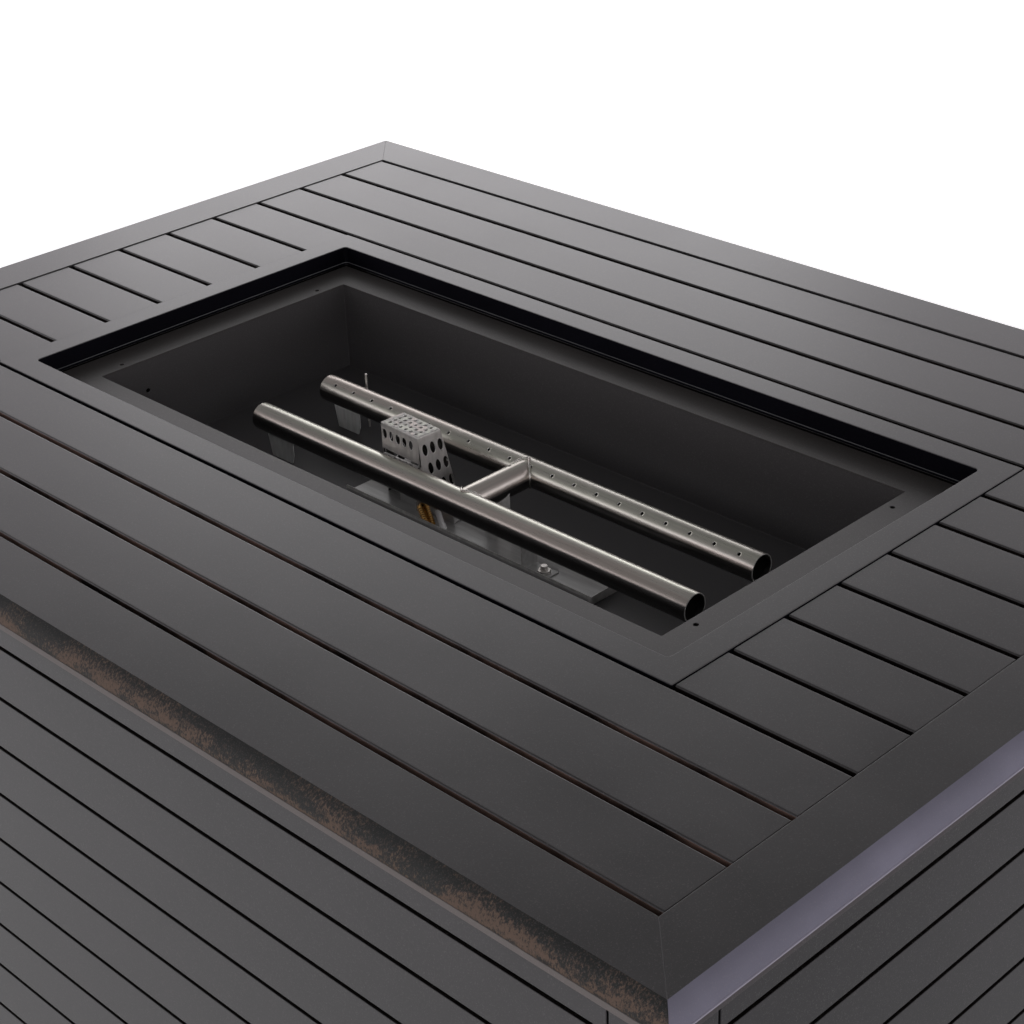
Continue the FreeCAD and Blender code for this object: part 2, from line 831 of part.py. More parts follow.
def pipes():
    """Gas pipes from the back of the valve to the mixer and to the pilot's orifice."""
    valve_back = control_plate_y - control_sheet - valve_nose - valve_size
    feed_z = control_mid_z - feed_pipe_drop
    mixer_side = cross_tube_x + coupling_radius * math.cos(math.pi / 6)
    feed = [
        V(knob_x, valve_back, feed_z),
        V(knob_x, burner_shift_y, feed_z),
        V(mixer_side, burner_shift_y, feed_z),
    ]
    save("burner_feed_pipe", elbowed(feed, feed_pipe_radius, feed_elbow, 16))
    pilot_z = control_mid_z - pilot_pipe_drop
    x = knob_x - pilot_pipe_off
    pilot = [
        V(x, valve_back, pilot_z),
        V(x, pilot_y, pilot_z),
        V(pilot_x, pilot_y, pilot_z),
        V(pilot_x, pilot_y, plate_top),
    ]
    save("pilot_feed_pipe", elbowed(pilot, pilot_pipe_radius, pilot_elbow, 12))


def valve():
    """Valve body clamped behind the control plate, a keyed spring cup and the flatted spindle."""
    z = control_mid_z
    plate_back = control_plate_y - control_sheet
    nose_end = plate_back - valve_nose
    half = valve_size / 2
    body = block(
        knob_x - half, knob_x + half, nose_end - valve_size, nose_end,
        z - valve_drop, z + half,
    )
    half_nose = nose_size / 2
    nose = block(
        knob_x - half_nose, knob_x + half_nose, nose_end, plate_back, z - half_nose, z + half_nose
    )
    body = body.fuse(nose.makeChamfer(nose_chamfer, along(nose, Y_AXIS)))
    cup_back = plate_back - nose_lip - cup_length - cup_gap
    cup_bore_back = cup_back - knob_travel - cup_gap
    stem_bore_back = cup_bore_back - stem_guide
    bore = flat_sided(
        cup_radius + cup_play, V(knob_x, cup_bore_back, z), V(knob_x, plate_back - nose_lip, z), 6
    )
    body = body.cut(bore)
    guide = rod(stem_radius + stem_play, V(knob_x, stem_bore_back, z), V(knob_x, plate_back + past, z))
    save("valve_body", body.cut(guide).removeSplitter())
    cup_front = V(knob_x, cup_back + cup_length, z)
    cup = flat_sided(cup_radius, V(knob_x, cup_back, z), cup_front, 6)
    cup_start = V(knob_x, cup_back - past, z)
    cup = cup.cut(rod(stem_radius + stem_play, cup_start, cup_front + V(0, past, 0)))
    save("valve_spring_cup", cup)
    stem_back = stem_bore_back + knob_travel + cup_gap
    save("valve_stem", spindle(stem_back))
    knob()
    hose_top = V(knob_x, nose_end - half, z - valve_drop)
    nut = prism(hexagon(hose_top, hose_nut_radius), V(0, 0, -hose_nut_height))
    low = hose_top - V(0, 0, hose_nut_height)
    thread = rod(hose_thread_radius, low - V(0, 0, hose_thread_length), low)
    save("hose_inlet", nut.fuse(thread))


def spindle(stem_back):
    """Round spindle with a flat along the end that drives the knob."""
    z = control_mid_z
    stem = rod(stem_radius, V(knob_x, stem_back, z), V(knob_x, stem_front, z))
    flat = block(
        knob_x - stem_radius, knob_x + stem_radius, knob_back, stem_front + past,
        z + stem_radius - stem_flat, z + stem_radius + past,
    )
    return stem.cut(flat)


def knob():
    """Many-sided knob with a finger bar across its face and a flatted socket for the spindle."""
    z = control_mid_z
    high = knob_back + knob_height
    skirt = faceted(
        knob_radius, V(knob_x, knob_back, z), V(knob_x, knob_back + knob_skirt, z), 24
    )
    half = knob_bar / 2
    reach = knob_radius - knob_bar_inset
    bar = block(knob_x - half, knob_x + half, knob_back, high, z - reach, z + reach)
    bar = bar.makeChamfer(knob_bar_edge, along(bar, Y_AXIS))
    shape = skirt.fuse(bar).cut(spindle(knob_back - past))
    pointer = block(
        knob_x - pointer_width / 2, knob_x + pointer_width / 2, high - pointer_depth, high + past,
        z + pointer_start, z + knob_radius,
    )
    save("control_knob", shape.cut(pointer).removeSplitter())


def igniter():
    """Battery igniter: long body through the plate, a cell inside it and a sprung push cap."""
    z = control_mid_z
    front = V(igniter_x, control_plate_y, z)
    back = front - V(0, control_sheet + igniter_length, 0)
    body = faceted(igniter_radius, back, front, 16)
    bezel = faceted(igniter_radius + bezel_width, front, front + V(0, bezel_height, 0), 24)
    inside = V(0, igniter_wall, 0)
    bore = flat_sided(
        button_radius + button_play, back + inside, front + V(0, bezel_height + past, 0), 16
    )
    save("igniter_housing", body.fuse(bezel).cut(bore).removeSplitter())
    cell_end = back + inside + V(0, battery_length, 0)
    save("igniter_battery", faceted(battery_radius, back + inside, cell_end, 16))
    base = cell_end + V(0, button_travel + button_play, 0)
    tip = front + V(0, bezel_height + button_height, 0)
    save("igniter_button", faceted(button_radius, base, tip, 16))


def control_panel():
    """Recessed folded tray that carries the valve and the igniter."""
    x0 = control_left
    x1 = control_left + control_width
    z0 = control_mid_z - control_rows * row_pitch / 2 + row_gap / 2
    z1 = control_mid_z + control_rows * row_pitch / 2 - row_gap / 2
    sheet = control_sheet
    tray = block(x0, x1, control_plate_y - sheet, face_y - control_setback, z0, z1)
    tray = tray.cut(block(x0 + sheet, x1 - sheet, control_plate_y, face_y, z0 + sheet, z1 - sheet))
    z = control_mid_z
    y0 = control_plate_y - sheet - past
    y1 = control_plate_y + past
    spindle_hole = stem_radius + spindle_hole_play
    tray = tray.cut(flat_sided(spindle_hole, V(knob_x, y0, z), V(knob_x, y1, z)))
    tray = tray.cut(faceted(igniter_radius, V(igniter_x, y0, z), V(igniter_x, y1, z), 16))
    save("control_panel", tray)


def row_span(row):
    """Bottom and top of a row of side slats; row 0 is the short one under the top."""
    low = table_height - (row + 1) * row_pitch + row_gap / 2
    high = base_top if row == 0 else table_height - row * row_pitch - row_gap / 2
    return low, high


def side_bar(x0, x1, row, reach):
    """Side slat along X with its outer face at y = -reach."""
    low, high = row_span(row)
    size = (x0, x1, -reach, -reach + side_slat_depth, low, high)
    return open_bar(size, X_AXIS, side_slat_wall)


def side_slats():
    half_x = base_length / 2 - post_size - side_end_gap
    half_y = base_width / 2 - post_size - side_end_gap
    every = range(rows + 1)
    save("side_slats_front", [side_bar(-half_x, half_x, row, face_y) for row in every])
    ends = [side_bar(-half_y, half_y, row, base_length / 2) for row in every]
    save("side_slats_right", [turned(bar, 90) for bar in ends])
    save("side_slats_left", [turned(bar, -90) for bar in ends])
    door_edge = door_width / 2 + door_gap
    back = []
    for row in every:
        if row < door_first_row:
            spans = [(-half_x, half_x)]
        else:
            spans = [(-half_x, -door_edge), (door_edge, half_x)]
        if 1 <= row <= control_rows:
            x0, x1 = spans.pop()
            spans.append((x0, control_left - control_fit))
            spans.append((control_left + control_width + control_fit, x1))
        for x0, x1 in spans:
            back.append(turned(side_bar(-x1, -x0, row, face_y), 180))
    save("side_slats_back", back)


def corner_posts():
    posts = []
    plugs = []
    for sx in (-1, 1):
        for sy in (-1, 1):
            x = sx * (base_length / 2 - post_size / 2)
            y = sy * (base_width / 2 - post_size / 2)
            half = post_size / 2
            size = (x - half, x + half, y - half, y + half, base_bottom, base_top)
            posts.append(open_bar(size, Z_AXIS, tube_wall, post_edge))
            inner = half - tube_wall
            plug = block(x - inner, x + inner, y - inner, y + inner, base_bottom,
                         base_bottom + plug_height)
            hole = V(x, y, base_bottom - past)
            bore = foot_stem_radius + foot_stem_play
            plugs.append(plug.cut(flat_sided(bore, hole, hole + V(0, 0, plug_height + 2 * past))))
    save("corner_posts", posts)
    save("post_plugs", plugs)


def levelling_feet():
    names = {(-1, -1): "front_left", (1, -1): "front_right", (-1, 1): "back_left",
             (1, 1): "back_right"}
    for (sx, sy), name in names.items():
        x = sx * (base_length / 2 - post_size / 2)
        y = sy * (base_width / 2 - post_size / 2)
        pad = prism(hexagon(V(x, y, 0), foot_radius), V(0, 0, foot_height))
        stem_top = base_bottom + plug_height + foot_stem_spare
        stem = rod(foot_stem_radius, V(x, y, foot_height), V(x, y, stem_top))
        save("levelling_foot_" + name, pad.fuse(stem))


def base_rails():
    """Upper and lower rails between the posts, set just behind the side slats."""
    rails = []
    for reach, half, angle in (
        (base_width / 2, base_length / 2 - post_size, 0),
        (base_length / 2, base_width / 2 - post_size, 90),
    ):
        y1 = -reach + side_slat_depth + rail_setback
        high = (-half, half, y1, y1 + stile_size, base_top - stile_size, base_top)
        low = (-half, half, y1, y1 + lower_rail_width, base_bottom, rail_top)
        for turn in (angle, angle + 180):
            rails.append(turned(open_bar(high, X_AXIS, tube_wall), turn))
            rails.append(turned(open_bar(low, X_AXIS, tube_wall), turn))
    save("base_rails", rails)


def upright(x, reach, low, high, angle):
    """Vertical tube centred on x behind the slats of one side."""
    y0 = -reach + side_slat_depth
    size = (x - stile_size / 2, x + stile_size / 2, y0, y0 + stile_size, low, high)
    return turned(open_bar(size, Z_AXIS, tube_wall), angle)


def base_uprights():
    low = rail_top
    high = base_top - stile_size
    shapes = []
    end_x = base_length / 2 - post_size - stile_size / 2
    end_y = base_width / 2 - post_size - stile_size / 2
    for x in (-end_x, -end_x / 2, 0, end_x / 2, end_x):
        shapes.append(upright(x, face_y, low, high, 0))
    for x in (-end_y, 0, end_y):
        shapes.append(upright(x, base_length / 2, low, high, 90))
        shapes.append(upright(x, base_length / 2, low, high, -90))
    jamb = door_width / 2 + door_gap + jamb_setback + stile_size / 2
    panel_stile = control_left + control_width + stile_size / 2
    for x in (-end_x, -jamb, jamb, panel_stile, end_x):
        shapes.append(upright(-x, face_y, low, high, 180))
    door_top = row_span(door_first_row)[1]
    inner = jamb - stile_size / 2
    y1 = face_y - side_slat_depth
    header_low = door_top + header_gap
    header = (-inner, inner, y1 - stile_size, y1, header_low, header_low + stile_size)
    shapes.append(open_bar(header, X_AXIS, tube_wall))
    save("base_uprights", shapes)


def base_floor():
    """Sheet floor on the lower rails, slotted for ventilation, with stops for the gas bottle's foot."""
    top = rail_top + floor_sheet
    half_x = base_length / 2 - post_size + floor_overlap
    half_y = base_width / 2 - post_size + floor_overlap
    sheet = block(-half_x, half_x, -half_y, half_y, rail_top, top)
    notch = floor_overlap + floor_notch_gap
    for sx in (-1, 1):
        for sy in (-1, 1):
            near_x, far_x = sorted((sx * (half_x - notch), sx * (half_x + past)))
            near_y, far_y = sorted((sy * (half_y - notch), sy * (half_y + past)))
            sheet = sheet.cut(block(near_x, far_x, near_y, far_y, rail_top - past, top + past))
    half_slot = vent_slot_length / 2
    for side in (-1, 1):
        for step in (-1, 0, 1):
            x = side * vent_slot_x + step * vent_slot_pitch
            for y in (-vent_slot_y, vent_slot_y):
                sheet = sheet.cut(
                    block(x - vent_slot_width / 2, x + vent_slot_width / 2, y - half_slot,
                          y + half_slot, rail_top - past, top + past)
                )
    save("base_floor", sheet)
    stops = []
    half = bottle_stop_length / 2
    near = bottle_foot_radius
    far = bottle_foot_radius + bottle_stop_sheet
    for turn in (45, 135, 225, 315):
        stop = turned(block(near, far, -half, half, top, top + bottle_stop_height), turn)
        stop.translate(V(0, bottle_centre_y, 0))
        stops.append(stop)
    save("bottle_stops", stops)


def door():
    x0 = -door_width / 2
    x1 = door_width / 2
    slats = []
    for row in range(door_first_row, rows + 1):
        slats.append(turned(side_bar(x0, x1, row, face_y), 180))
    save("door_slats", slats)
    y1 = face_y - side_slat_depth
    y0 = y1 - door_tube
    low = rail_top + door_sill_play
    high = row_span(door_first_row)[1] - door_head_gap
    inset = door_frame_inset
    left = (x0 + inset, x0 + inset + door_tube, y0, y1, low, high)
    right = (x1 - inset - door_tube, x1 - inset, y0, y1, low, high)
    frame = [open_bar(left, Z_AXIS, tube_wall), open_bar(right, Z_AXIS, tube_wall)]
    for z in (low, high - door_tube):
        size = (x0 + inset + door_tube, x1 - inset - door_tube, y0, y1, z, z + door_tube)
        frame.append(open_bar(size, X_AXIS, tube_wall))
    save("door_frame", frame)
    middle = (low + high) / 2
    strike = block(x1 - inset - door_tube, x1 - inset, y0 - strike_sheet, y0,
                   middle - magnet_length / 2, middle + magnet_length / 2)
    save("door_strike", strike)
    jamb_edge = x1 + door_gap + jamb_setback
    face = y0 - strike_sheet - strike_gap
    magnet = block(x1 - door_tube, jamb_edge, face - magnet_depth, face,
                   middle - magnet_length / 2, middle + magnet_length / 2)
    save("door_magnet", magnet)
    pull_right = x1 - pull_inset
    pull_left = pull_right - pull_width
    plate = block(pull_left, pull_right, face_y, face_y + pull_sheet,
                  middle - pull_length / 2, middle + pull_length / 2)
    lip = block(pull_left, pull_left + pull_sheet, face_y, face_y + pull_reach,
                middle - pull_length / 2, middle + pull_length / 2)
    save("door_pull", plate.fuse(lip).removeSplitter())


def hinge_leaf_shape(z, way):
    """Flat leaf of one hinge on the outer face; way is +1 on the door and -1 beside it."""
    near = hinge_x + way * hinge_leaf_start
    far = near + way * hinge_leaf
    half = barrel_length / 2
    return block(min(near, far), max(near, far), face_y, face_y + hinge_sheet, z - half, z + half)


def knuckle(low, high, way):
    """Length of barrel with the web that joins it to its leaf."""
    barrel = faceted(barrel_radius, V(hinge_x, hinge_y, low), V(hinge_x, hinge_y, high), 16)
    far = hinge_x + way * (hinge_leaf_start + hinge_web_lap)
    web_y = face_y + hinge_web_lift
    web = block(min(hinge_x, far), max(hinge_x, far), web_y, face_y + hinge_sheet, low, high)
    return barrel.fuse(web)


def hinges():
    """Two butt hinges: the outer knuckles carry a staked pin and the door's knuckle turns on it."""
    low = rail_top + door_sill_play
    high = row_span(door_first_row)[1] - door_head_gap
    third = barrel_length / 3
    fixed = []
    moving = []
    for z in (low + hinge_end, high - hinge_end):
        bottom = z - barrel_length / 2
        top = z + barrel_length / 2
        shape = hinge_leaf_shape(z, -1)
        shape = shape.fuse(knuckle(bottom, bottom + third, -1))
        shape = shape.fuse(knuckle(top - third, top, -1))
        pin_low = V(hinge_x, hinge_y, bottom + hinge_pin_inset)
        pin = rod(hinge_pin_radius, pin_low, V(hinge_x, hinge_y, top - hinge_pin_inset))
        fixed.append(shape.fuse(pin).removeSplitter())
        door_knuckle = knuckle(bottom + third + hinge_end_play, top - third - hinge_end_play, 1)
        bore = rod(hinge_pin_radius + hinge_play, V(hinge_x, hinge_y, bottom), V(hinge_x, hinge_y, top))
        leaf = hinge_leaf_shape(z, 1)
        moving.append(leaf.fuse(door_knuckle.cut(bore)).removeSplitter())
    save("hinge_fixed_leaves", fixed)
    save("hinge_door_leaves", moving)


os.makedirs("parts", exist_ok=True)
perimeter()
top_slats()
cross_rails()
burner_surround()
burner_pan()
burner_tubes()
burner_legs()
coupling()
mount_plate()
pilot_hood()
pilot_parts()
air_mixer()
pipes()
valve()
igniter()
control_panel()
side_slats()
corner_posts()
levelling_feet()
base_rails()
base_uprights()
base_floor()
door()
hinges()
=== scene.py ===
import math

import bmesh
import bpy
from mathutils import Matrix, Vector


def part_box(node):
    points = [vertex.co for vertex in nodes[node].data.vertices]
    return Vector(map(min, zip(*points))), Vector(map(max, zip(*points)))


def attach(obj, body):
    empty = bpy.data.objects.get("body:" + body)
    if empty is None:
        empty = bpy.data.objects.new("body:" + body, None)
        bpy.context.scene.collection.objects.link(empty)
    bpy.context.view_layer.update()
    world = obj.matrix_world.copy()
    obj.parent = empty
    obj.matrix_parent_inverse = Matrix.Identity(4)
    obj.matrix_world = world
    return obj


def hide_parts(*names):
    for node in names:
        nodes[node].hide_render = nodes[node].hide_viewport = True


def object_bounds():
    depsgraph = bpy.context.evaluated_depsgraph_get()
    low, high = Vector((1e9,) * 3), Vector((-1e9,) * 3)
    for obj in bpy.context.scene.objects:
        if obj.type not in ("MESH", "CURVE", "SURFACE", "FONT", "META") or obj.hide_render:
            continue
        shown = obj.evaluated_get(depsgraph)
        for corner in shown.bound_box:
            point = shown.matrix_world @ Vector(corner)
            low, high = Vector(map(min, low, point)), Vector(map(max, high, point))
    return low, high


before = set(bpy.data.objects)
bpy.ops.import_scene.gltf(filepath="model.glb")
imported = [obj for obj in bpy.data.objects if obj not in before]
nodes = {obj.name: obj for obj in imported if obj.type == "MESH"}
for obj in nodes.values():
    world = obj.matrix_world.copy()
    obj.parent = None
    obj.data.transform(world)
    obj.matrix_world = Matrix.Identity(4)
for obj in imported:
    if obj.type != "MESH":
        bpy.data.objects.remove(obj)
cad_low, cad_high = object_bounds()


# Camera
# A long lens above the front right corner of the table, looking down along its diagonal,
# level but for a small roll.
camera_data = bpy.data.cameras.new("view")
camera_data.sensor_width = 36.0
camera_data.lens = 73.24607928
camera = bpy.data.objects.new("view", camera_data)
camera.location = (1.16556199, -1.092535, 1.39006324)
camera.rotation_euler = [math.radians(turn) for turn in (61.8664127, 1.86942547, 44.82618292)]
bpy.context.collection.objects.link(camera)
bpy.context.scene.camera = camera
bpy.context.scene.view_settings.view_transform = "Standard"


# Studio
# A pale floor in a round white studio whose walls are bright near the horizon and fade to a
# grey ceiling, with one broad soft lamp from behind on the left.
floor_reach = 14.0
floor_colour = (0.93, 0.93, 0.93, 1.0)
floor_glow = 0.55
ceiling_colour = (0.235, 0.229, 0.234, 1.0)
wall_colour = (1.90, 1.81, 1.88, 1.0)
wall_low = 0.26
wall_high = 0.52
lamp_size = 2.4
lamp_power = 18
lamp_place = (-3.4, 3.2, 1.9)
lamp_aim = Vector((0, 0, 0.6))


def link_value(tree, socket, value):
    """Sets the socket to a number or a colour, or joins it to another socket."""
    if isinstance(value, bpy.types.NodeSocket):
        tree.links.new(value, socket)
    elif isinstance(value, tuple) and len(value) == 3 and socket.type == "RGBA":
        socket.default_value = (*value, 1.0)
    else:
        socket.default_value = value


def math_node(tree, operation, first, second=0.0):
    node = tree.nodes.new("ShaderNodeMath")
    node.operation = operation
    link_value(tree, node.inputs[0], first)
    link_value(tree, node.inputs[1], second)
    return node.outputs[0]


def ramp_between(tree, value, low, high):
    """0 at low, 1 at high, smooth between."""
    node = tree.nodes.new("ShaderNodeMapRange")
    node.interpolation_type = "SMOOTHSTEP"
    link_value(tree, node.inputs["Value"], value)
    link_value(tree, node.inputs["From Min"], low)
    link_value(tree, node.inputs["From Max"], high)
    return node.outputs["Result"]


def mix_colour(tree, factor, first, second, blend="MIX"):
    node = tree.nodes.new("ShaderNodeMix")
    node.data_type = "RGBA"
    node.blend_type = blend
    link_value(tree, node.inputs["Factor"], factor)
    link_value(tree, node.inputs["A"], first)
    link_value(tree, node.inputs["B"], second)
    return node.outputs["Result"]


def height_of(tree, vector):
    """Upward part of a place or a direction."""
    split = tree.nodes.new("ShaderNodeSeparateXYZ")
    tree.links.new(vector, split.inputs[0])
    return split.outputs["Z"]


def new_material(name):
    """Fresh material; returns it with its tree and its shader."""
    material = bpy.data.materials.new(name)
    material.use_nodes = True
    return material, material.node_tree, material.node_tree.nodes["Principled BSDF"]


def made_piece(shape, name):
    """Turns a finished bmesh into an object that stands at the origin."""
    mesh = bpy.data.meshes.new(name)
    shape.to_mesh(mesh)
    shape.free()
    piece = bpy.data.objects.new(name, mesh)
    bpy.context.collection.objects.link(piece)
    return piece


studio = bpy.data.worlds.new("studio")
studio.use_nodes = True
tree = studio.node_tree
level = height_of(tree, tree.nodes.new("ShaderNodeTexCoord").outputs["Generated"])
fade = ramp_between(tree, level, wall_low, wall_high)
tree.links.new(mix_colour(tree, fade, wall_colour, ceiling_colour),
               tree.nodes["Background"].inputs["Color"])
bpy.context.scene.world = studio

lamp_data = bpy.data.lights.new("back_lamp", "AREA")
lamp_data.size = lamp_size
lamp_data.energy = lamp_power
lamp = bpy.data.objects.new("back_lamp", lamp_data)
lamp.location = lamp_place
lamp.rotation_euler = (lamp_aim - lamp.location).to_track_quat("-Z", "Y").to_euler()
lamp.visible_camera = False
bpy.context.collection.objects.link(lamp)

ground = bmesh.new()
bmesh.ops.create_grid(ground, x_segments=1, y_segments=1, size=floor_reach)
floor = made_piece(ground, "floor")
floor_material, tree, shader = new_material("pale_floor")
shader.inputs["Base Color"].default_value = floor_colour
shader.inputs["Roughness"].default_value = 0.9
shader.inputs["Specular IOR Level"].default_value = 0.1
shader.inputs["Emission Color"].default_value = (1, 1, 1, 1)
rays = tree.nodes.new("ShaderNodeLightPath").outputs
seen = math_node(tree, "MAXIMUM", rays["Is Camera Ray"], rays["Is Glossy Ray"])
seen = math_node(tree, "MAXIMUM", seen, rays["Is Transmission Ray"])
tree.links.new(math_node(tree, "MULTIPLY", seen, floor_glow), shader.inputs["Emission Strength"])
floor.data.materials.append(floor_material)


# Boards round the top
# Four hollow aluminium boards with a rounded nose and a thin lower lip, mitred and welded at the
# corners. The powder coat is a dark bronze with a fine speckle, and copper brown flecks are
# brushed along the nose by hand. Light is painted on the noses and lips: painted shade on the
# front and back noses, a painted lavender highlight on the side noses with a painted highlight
# line along the top of their lip, and front lips painted lighter than side lips. The inner edges
# are painted dark below the top as shade.
mm = 0.001
bronze_dark = (0.020, 0.0190, 0.0195)
bronze_light = (0.030, 0.0285, 0.0290)
copper = (0.135, 0.092, 0.068)
# Painted light on the noses and lips: the nose tone is painted shade, the side nose tone a painted
# lavender highlight, the side line tone a painted highlight line; the front lip is painted lit and
# the side lip painted shaded.
shaded_nose_tone = (0.0135, 0.0145, 0.0140)
lit_front_lip_tone = (0.135, 0.122, 0.116)
lit_side_nose_tone = (0.125, 0.122, 0.158)
shaded_side_lip_tone = (0.045, 0.040, 0.042)
side_highlight_line_tone = (0.30, 0.285, 0.34)
# Painted shade for gaps and for faces down between parts.
gap_shade_tone = (0.0034, 0.0021, 0.0018)
speck_tone = (0.30, 0.29, 0.28)
speck_scale = 1100.0
fleck_scale = 620.0
patch_scale = 26.0
cloud_scale = 7.0
table_top = cad_high[2]
nose_reach = 10.4 * mm
lip_top = table_top - 17.0 * mm
board_edge = 0.7 * mm
coat_relief = 0.15 * mm


def scaled(tree, vector, scale):
    """Vector stretched by a different amount along each axis."""
    node = tree.nodes.new("ShaderNodeVectorMath")
    node.operation = "MULTIPLY"
    link_value(tree, node.inputs[0], vector)
    link_value(tree, node.inputs[1], scale)
    return node.outputs["Vector"]


def noise_node(tree, vector, scale, detail=2.0, roughness=0.5):
    node = tree.nodes.new("ShaderNodeTexNoise")
    link_value(tree, node.inputs["Vector"], vector)
    link_value(tree, node.inputs["Scale"], scale)
    node.inputs["Detail"].default_value = detail
    node.inputs["Roughness"].default_value = roughness
    return node.outputs["Fac"]


def place_on_piece(tree):
    return tree.nodes.new("ShaderNodeTexCoord").outputs["Object"]


def height_on_piece(tree):
    """Height above the ground, for tones that change with it."""
    return height_of(tree, place_on_piece(tree))


def added(tree, base, pattern, share):
    """Base plus a share of the pattern."""
    return math_node(tree, "ADD", base, math_node(tree, "MULTIPLY", pattern, share))


def new_group(name, inputs):
    """Empty shader node group that puts out a colour, a roughness and a height; returns its tree
    and its end nodes."""
    tree = bpy.data.node_groups.new(name, "ShaderNodeTree")
    for label, kind, value in inputs:
        socket = tree.interface.new_socket(label, in_out="INPUT", socket_type="NodeSocket" + kind)
        socket.default_value = value
    for label, kind in (("Color", "Color"), ("Roughness", "Float"), ("Height", "Float")):
        tree.interface.new_socket(label, in_out="OUTPUT", socket_type="NodeSocket" + kind)
    return tree, tree.nodes.new("NodeGroupInput"), tree.nodes.new("NodeGroupOutput")


def powder_coat_group():
    """Speckled coat: soft clouds on a dark ground, fine specks, and flecks where Fleck is up."""
    tree, start, end = new_group("powder_coat", [
        ("Dark", "Color", (*bronze_dark, 1.0)),
        ("Light", "Color", (*bronze_light, 1.0)),
        ("Fleck Color", "Color", (*copper, 1.0)),
        ("Fleck", "Float", 0.0),
        ("Roughness", "Float", 0.27),
        ("Specks", "Float", 0.14),
    ])
    place = place_on_piece(tree)
    cloud = noise_node(tree, place, cloud_scale, 4.0, 0.6)
    specks = noise_node(tree, place, speck_scale, 2.0, 0.6)
    peel = noise_node(tree, place, speck_scale / 3, 2.0)
    base = mix_colour(tree, ramp_between(tree, cloud, 0.30, 0.72), start.outputs["Dark"],
                      start.outputs["Light"])
    light_specks = math_node(tree, "MULTIPLY", ramp_between(tree, specks, 0.56, 0.72),
                             start.outputs["Specks"])
    base = mix_colour(tree, light_specks, base, speck_tone)
    streaks = noise_node(tree, scaled(tree, place, (1.0, 0.7, 0.65)), fleck_scale, 4.0, 0.75)
    patches = noise_node(tree, scaled(tree, place, (1.0, 1.0, 2.0)), patch_scale, 3.0, 0.6)
    level = math_node(tree, "MULTIPLY", start.outputs["Fleck"],
                      math_node(tree, "ADD", 0.45, ramp_between(tree, patches, 0.35, 0.60)))
    threshold = added(tree, 0.58, level, -0.12)
    flecks = ramp_between(tree, streaks, threshold, math_node(tree, "ADD", threshold, 0.22))
    flecks = math_node(tree, "MULTIPLY", flecks, math_node(tree, "MINIMUM", level, 0.75))
    tree.links.new(mix_colour(tree, flecks, base, start.outputs["Fleck Color"]),
                   end.inputs["Color"])
    rough = added(tree, added(tree, start.outputs["Roughness"], cloud, 0.08), flecks, 0.15)
    tree.links.new(rough, end.inputs["Roughness"])
    tree.links.new(added(tree, math_node(tree, "MULTIPLY", peel, 0.5), specks, 0.5),
                   end.inputs["Height"])
    return tree


powder_coat = powder_coat_group()


def add_relief(tree, shader, height, strength, depth):
    """Lets a height pattern stand out a little from the surface."""
    node = tree.nodes.new("ShaderNodeBump")
    node.inputs["Strength"].default_value = strength
    node.inputs["Distance"].default_value = depth
    tree.links.new(height, node.inputs["Height"])
    tree.links.new(node.outputs["Normal"], shader.inputs["Normal"])


def coat_material(name, dark=bronze_dark, light=bronze_light, tones=None, roughness=0.27,
                  bump=0.12, sheen=0.5, specks=0.14):
    """Powder coat; tones takes the tree and the two ground colours and returns the colours and
    the fleck mask for this piece."""
    material, tree, shader = new_material(name)
    coat = tree.nodes.new("ShaderNodeGroup")
    coat.node_tree = powder_coat
    coat.inputs["Roughness"].default_value = roughness
    coat.inputs["Specks"].default_value = specks
    fleck = 0.0
    if tones:
        dark, light, fleck = tones(tree, dark, light)
    link_value(tree, coat.inputs["Dark"], dark)
    link_value(tree, coat.inputs["Light"], light)
    link_value(tree, coat.inputs["Fleck"], fleck)
    tree.links.new(coat.outputs["Color"], shader.inputs["Base Color"])
    tree.links.new(coat.outputs["Roughness"], shader.inputs["Roughness"])
    shader.inputs["Specular IOR Level"].default_value = sheen
    add_relief(tree, shader, coat.outputs["Height"], bump, coat_relief)
    return material


def toned(tree, mask, dark, light, tone):
    """Both ground colours, changed to the tone where the mask is up."""
    return mix_colour(tree, mask, dark, tone), mix_colour(tree, mask, light, tone)


def inner_shade_tones(tree, dark, light):
    """Painted shade: the inner edge is dark below the top."""
    inner = ramp_between(tree, height_on_piece(tree), table_top - 1.0 * mm, table_top - 2.5 * mm)
    return *toned(tree, inner, dark, light, gap_shade_tone), 0.0


def brown_patch_tones(tree, dark, light):
    """Long patches between the dark and the light ground colour, with a few flecks."""
    worn = noise_node(tree, scaled(tree, place_on_piece(tree), (1.0, 1.0, 0.2)), 11.0, 4.0, 0.6)
    brown = mix_colour(tree, ramp_between(tree, worn, 0.36, 0.56), dark, light)
    return brown, brown, 0.3


def nose_light_and_fleck_tones(nose_colour, lip_colour, highlight_line_colour, flecks):
    """Nose and lip in painted light tones, flecks thickening down the nose, and a painted
    highlight line that can run along the top of the lip.
    """
    def tones(tree, dark, light):
        height = height_on_piece(tree)
        lip = ramp_between(tree, height, lip_top + 0.3 * mm, lip_top - 0.3 * mm)
        below = ramp_between(tree, height, lip_top - 0.5 * mm, lip_top - 1.3 * mm)
        lip_colour_here = mix_colour(tree, below, highlight_line_colour, lip_colour)
        low = ramp_between(tree, height, table_top - 1.0 * mm, table_top - 12.0 * mm)
        fleck = math_node(tree, "MULTIPLY", math_node(tree, "ADD", 0.65, low), flecks)
        fleck = math_node(tree, "MULTIPLY", fleck, math_node(tree, "SUBTRACT", 1.0, lip))
        pale = tuple(part * 1.35 for part in nose_colour)
        return *toned(tree, lip, nose_colour, pale, lip_colour_here), fleck
    return tones


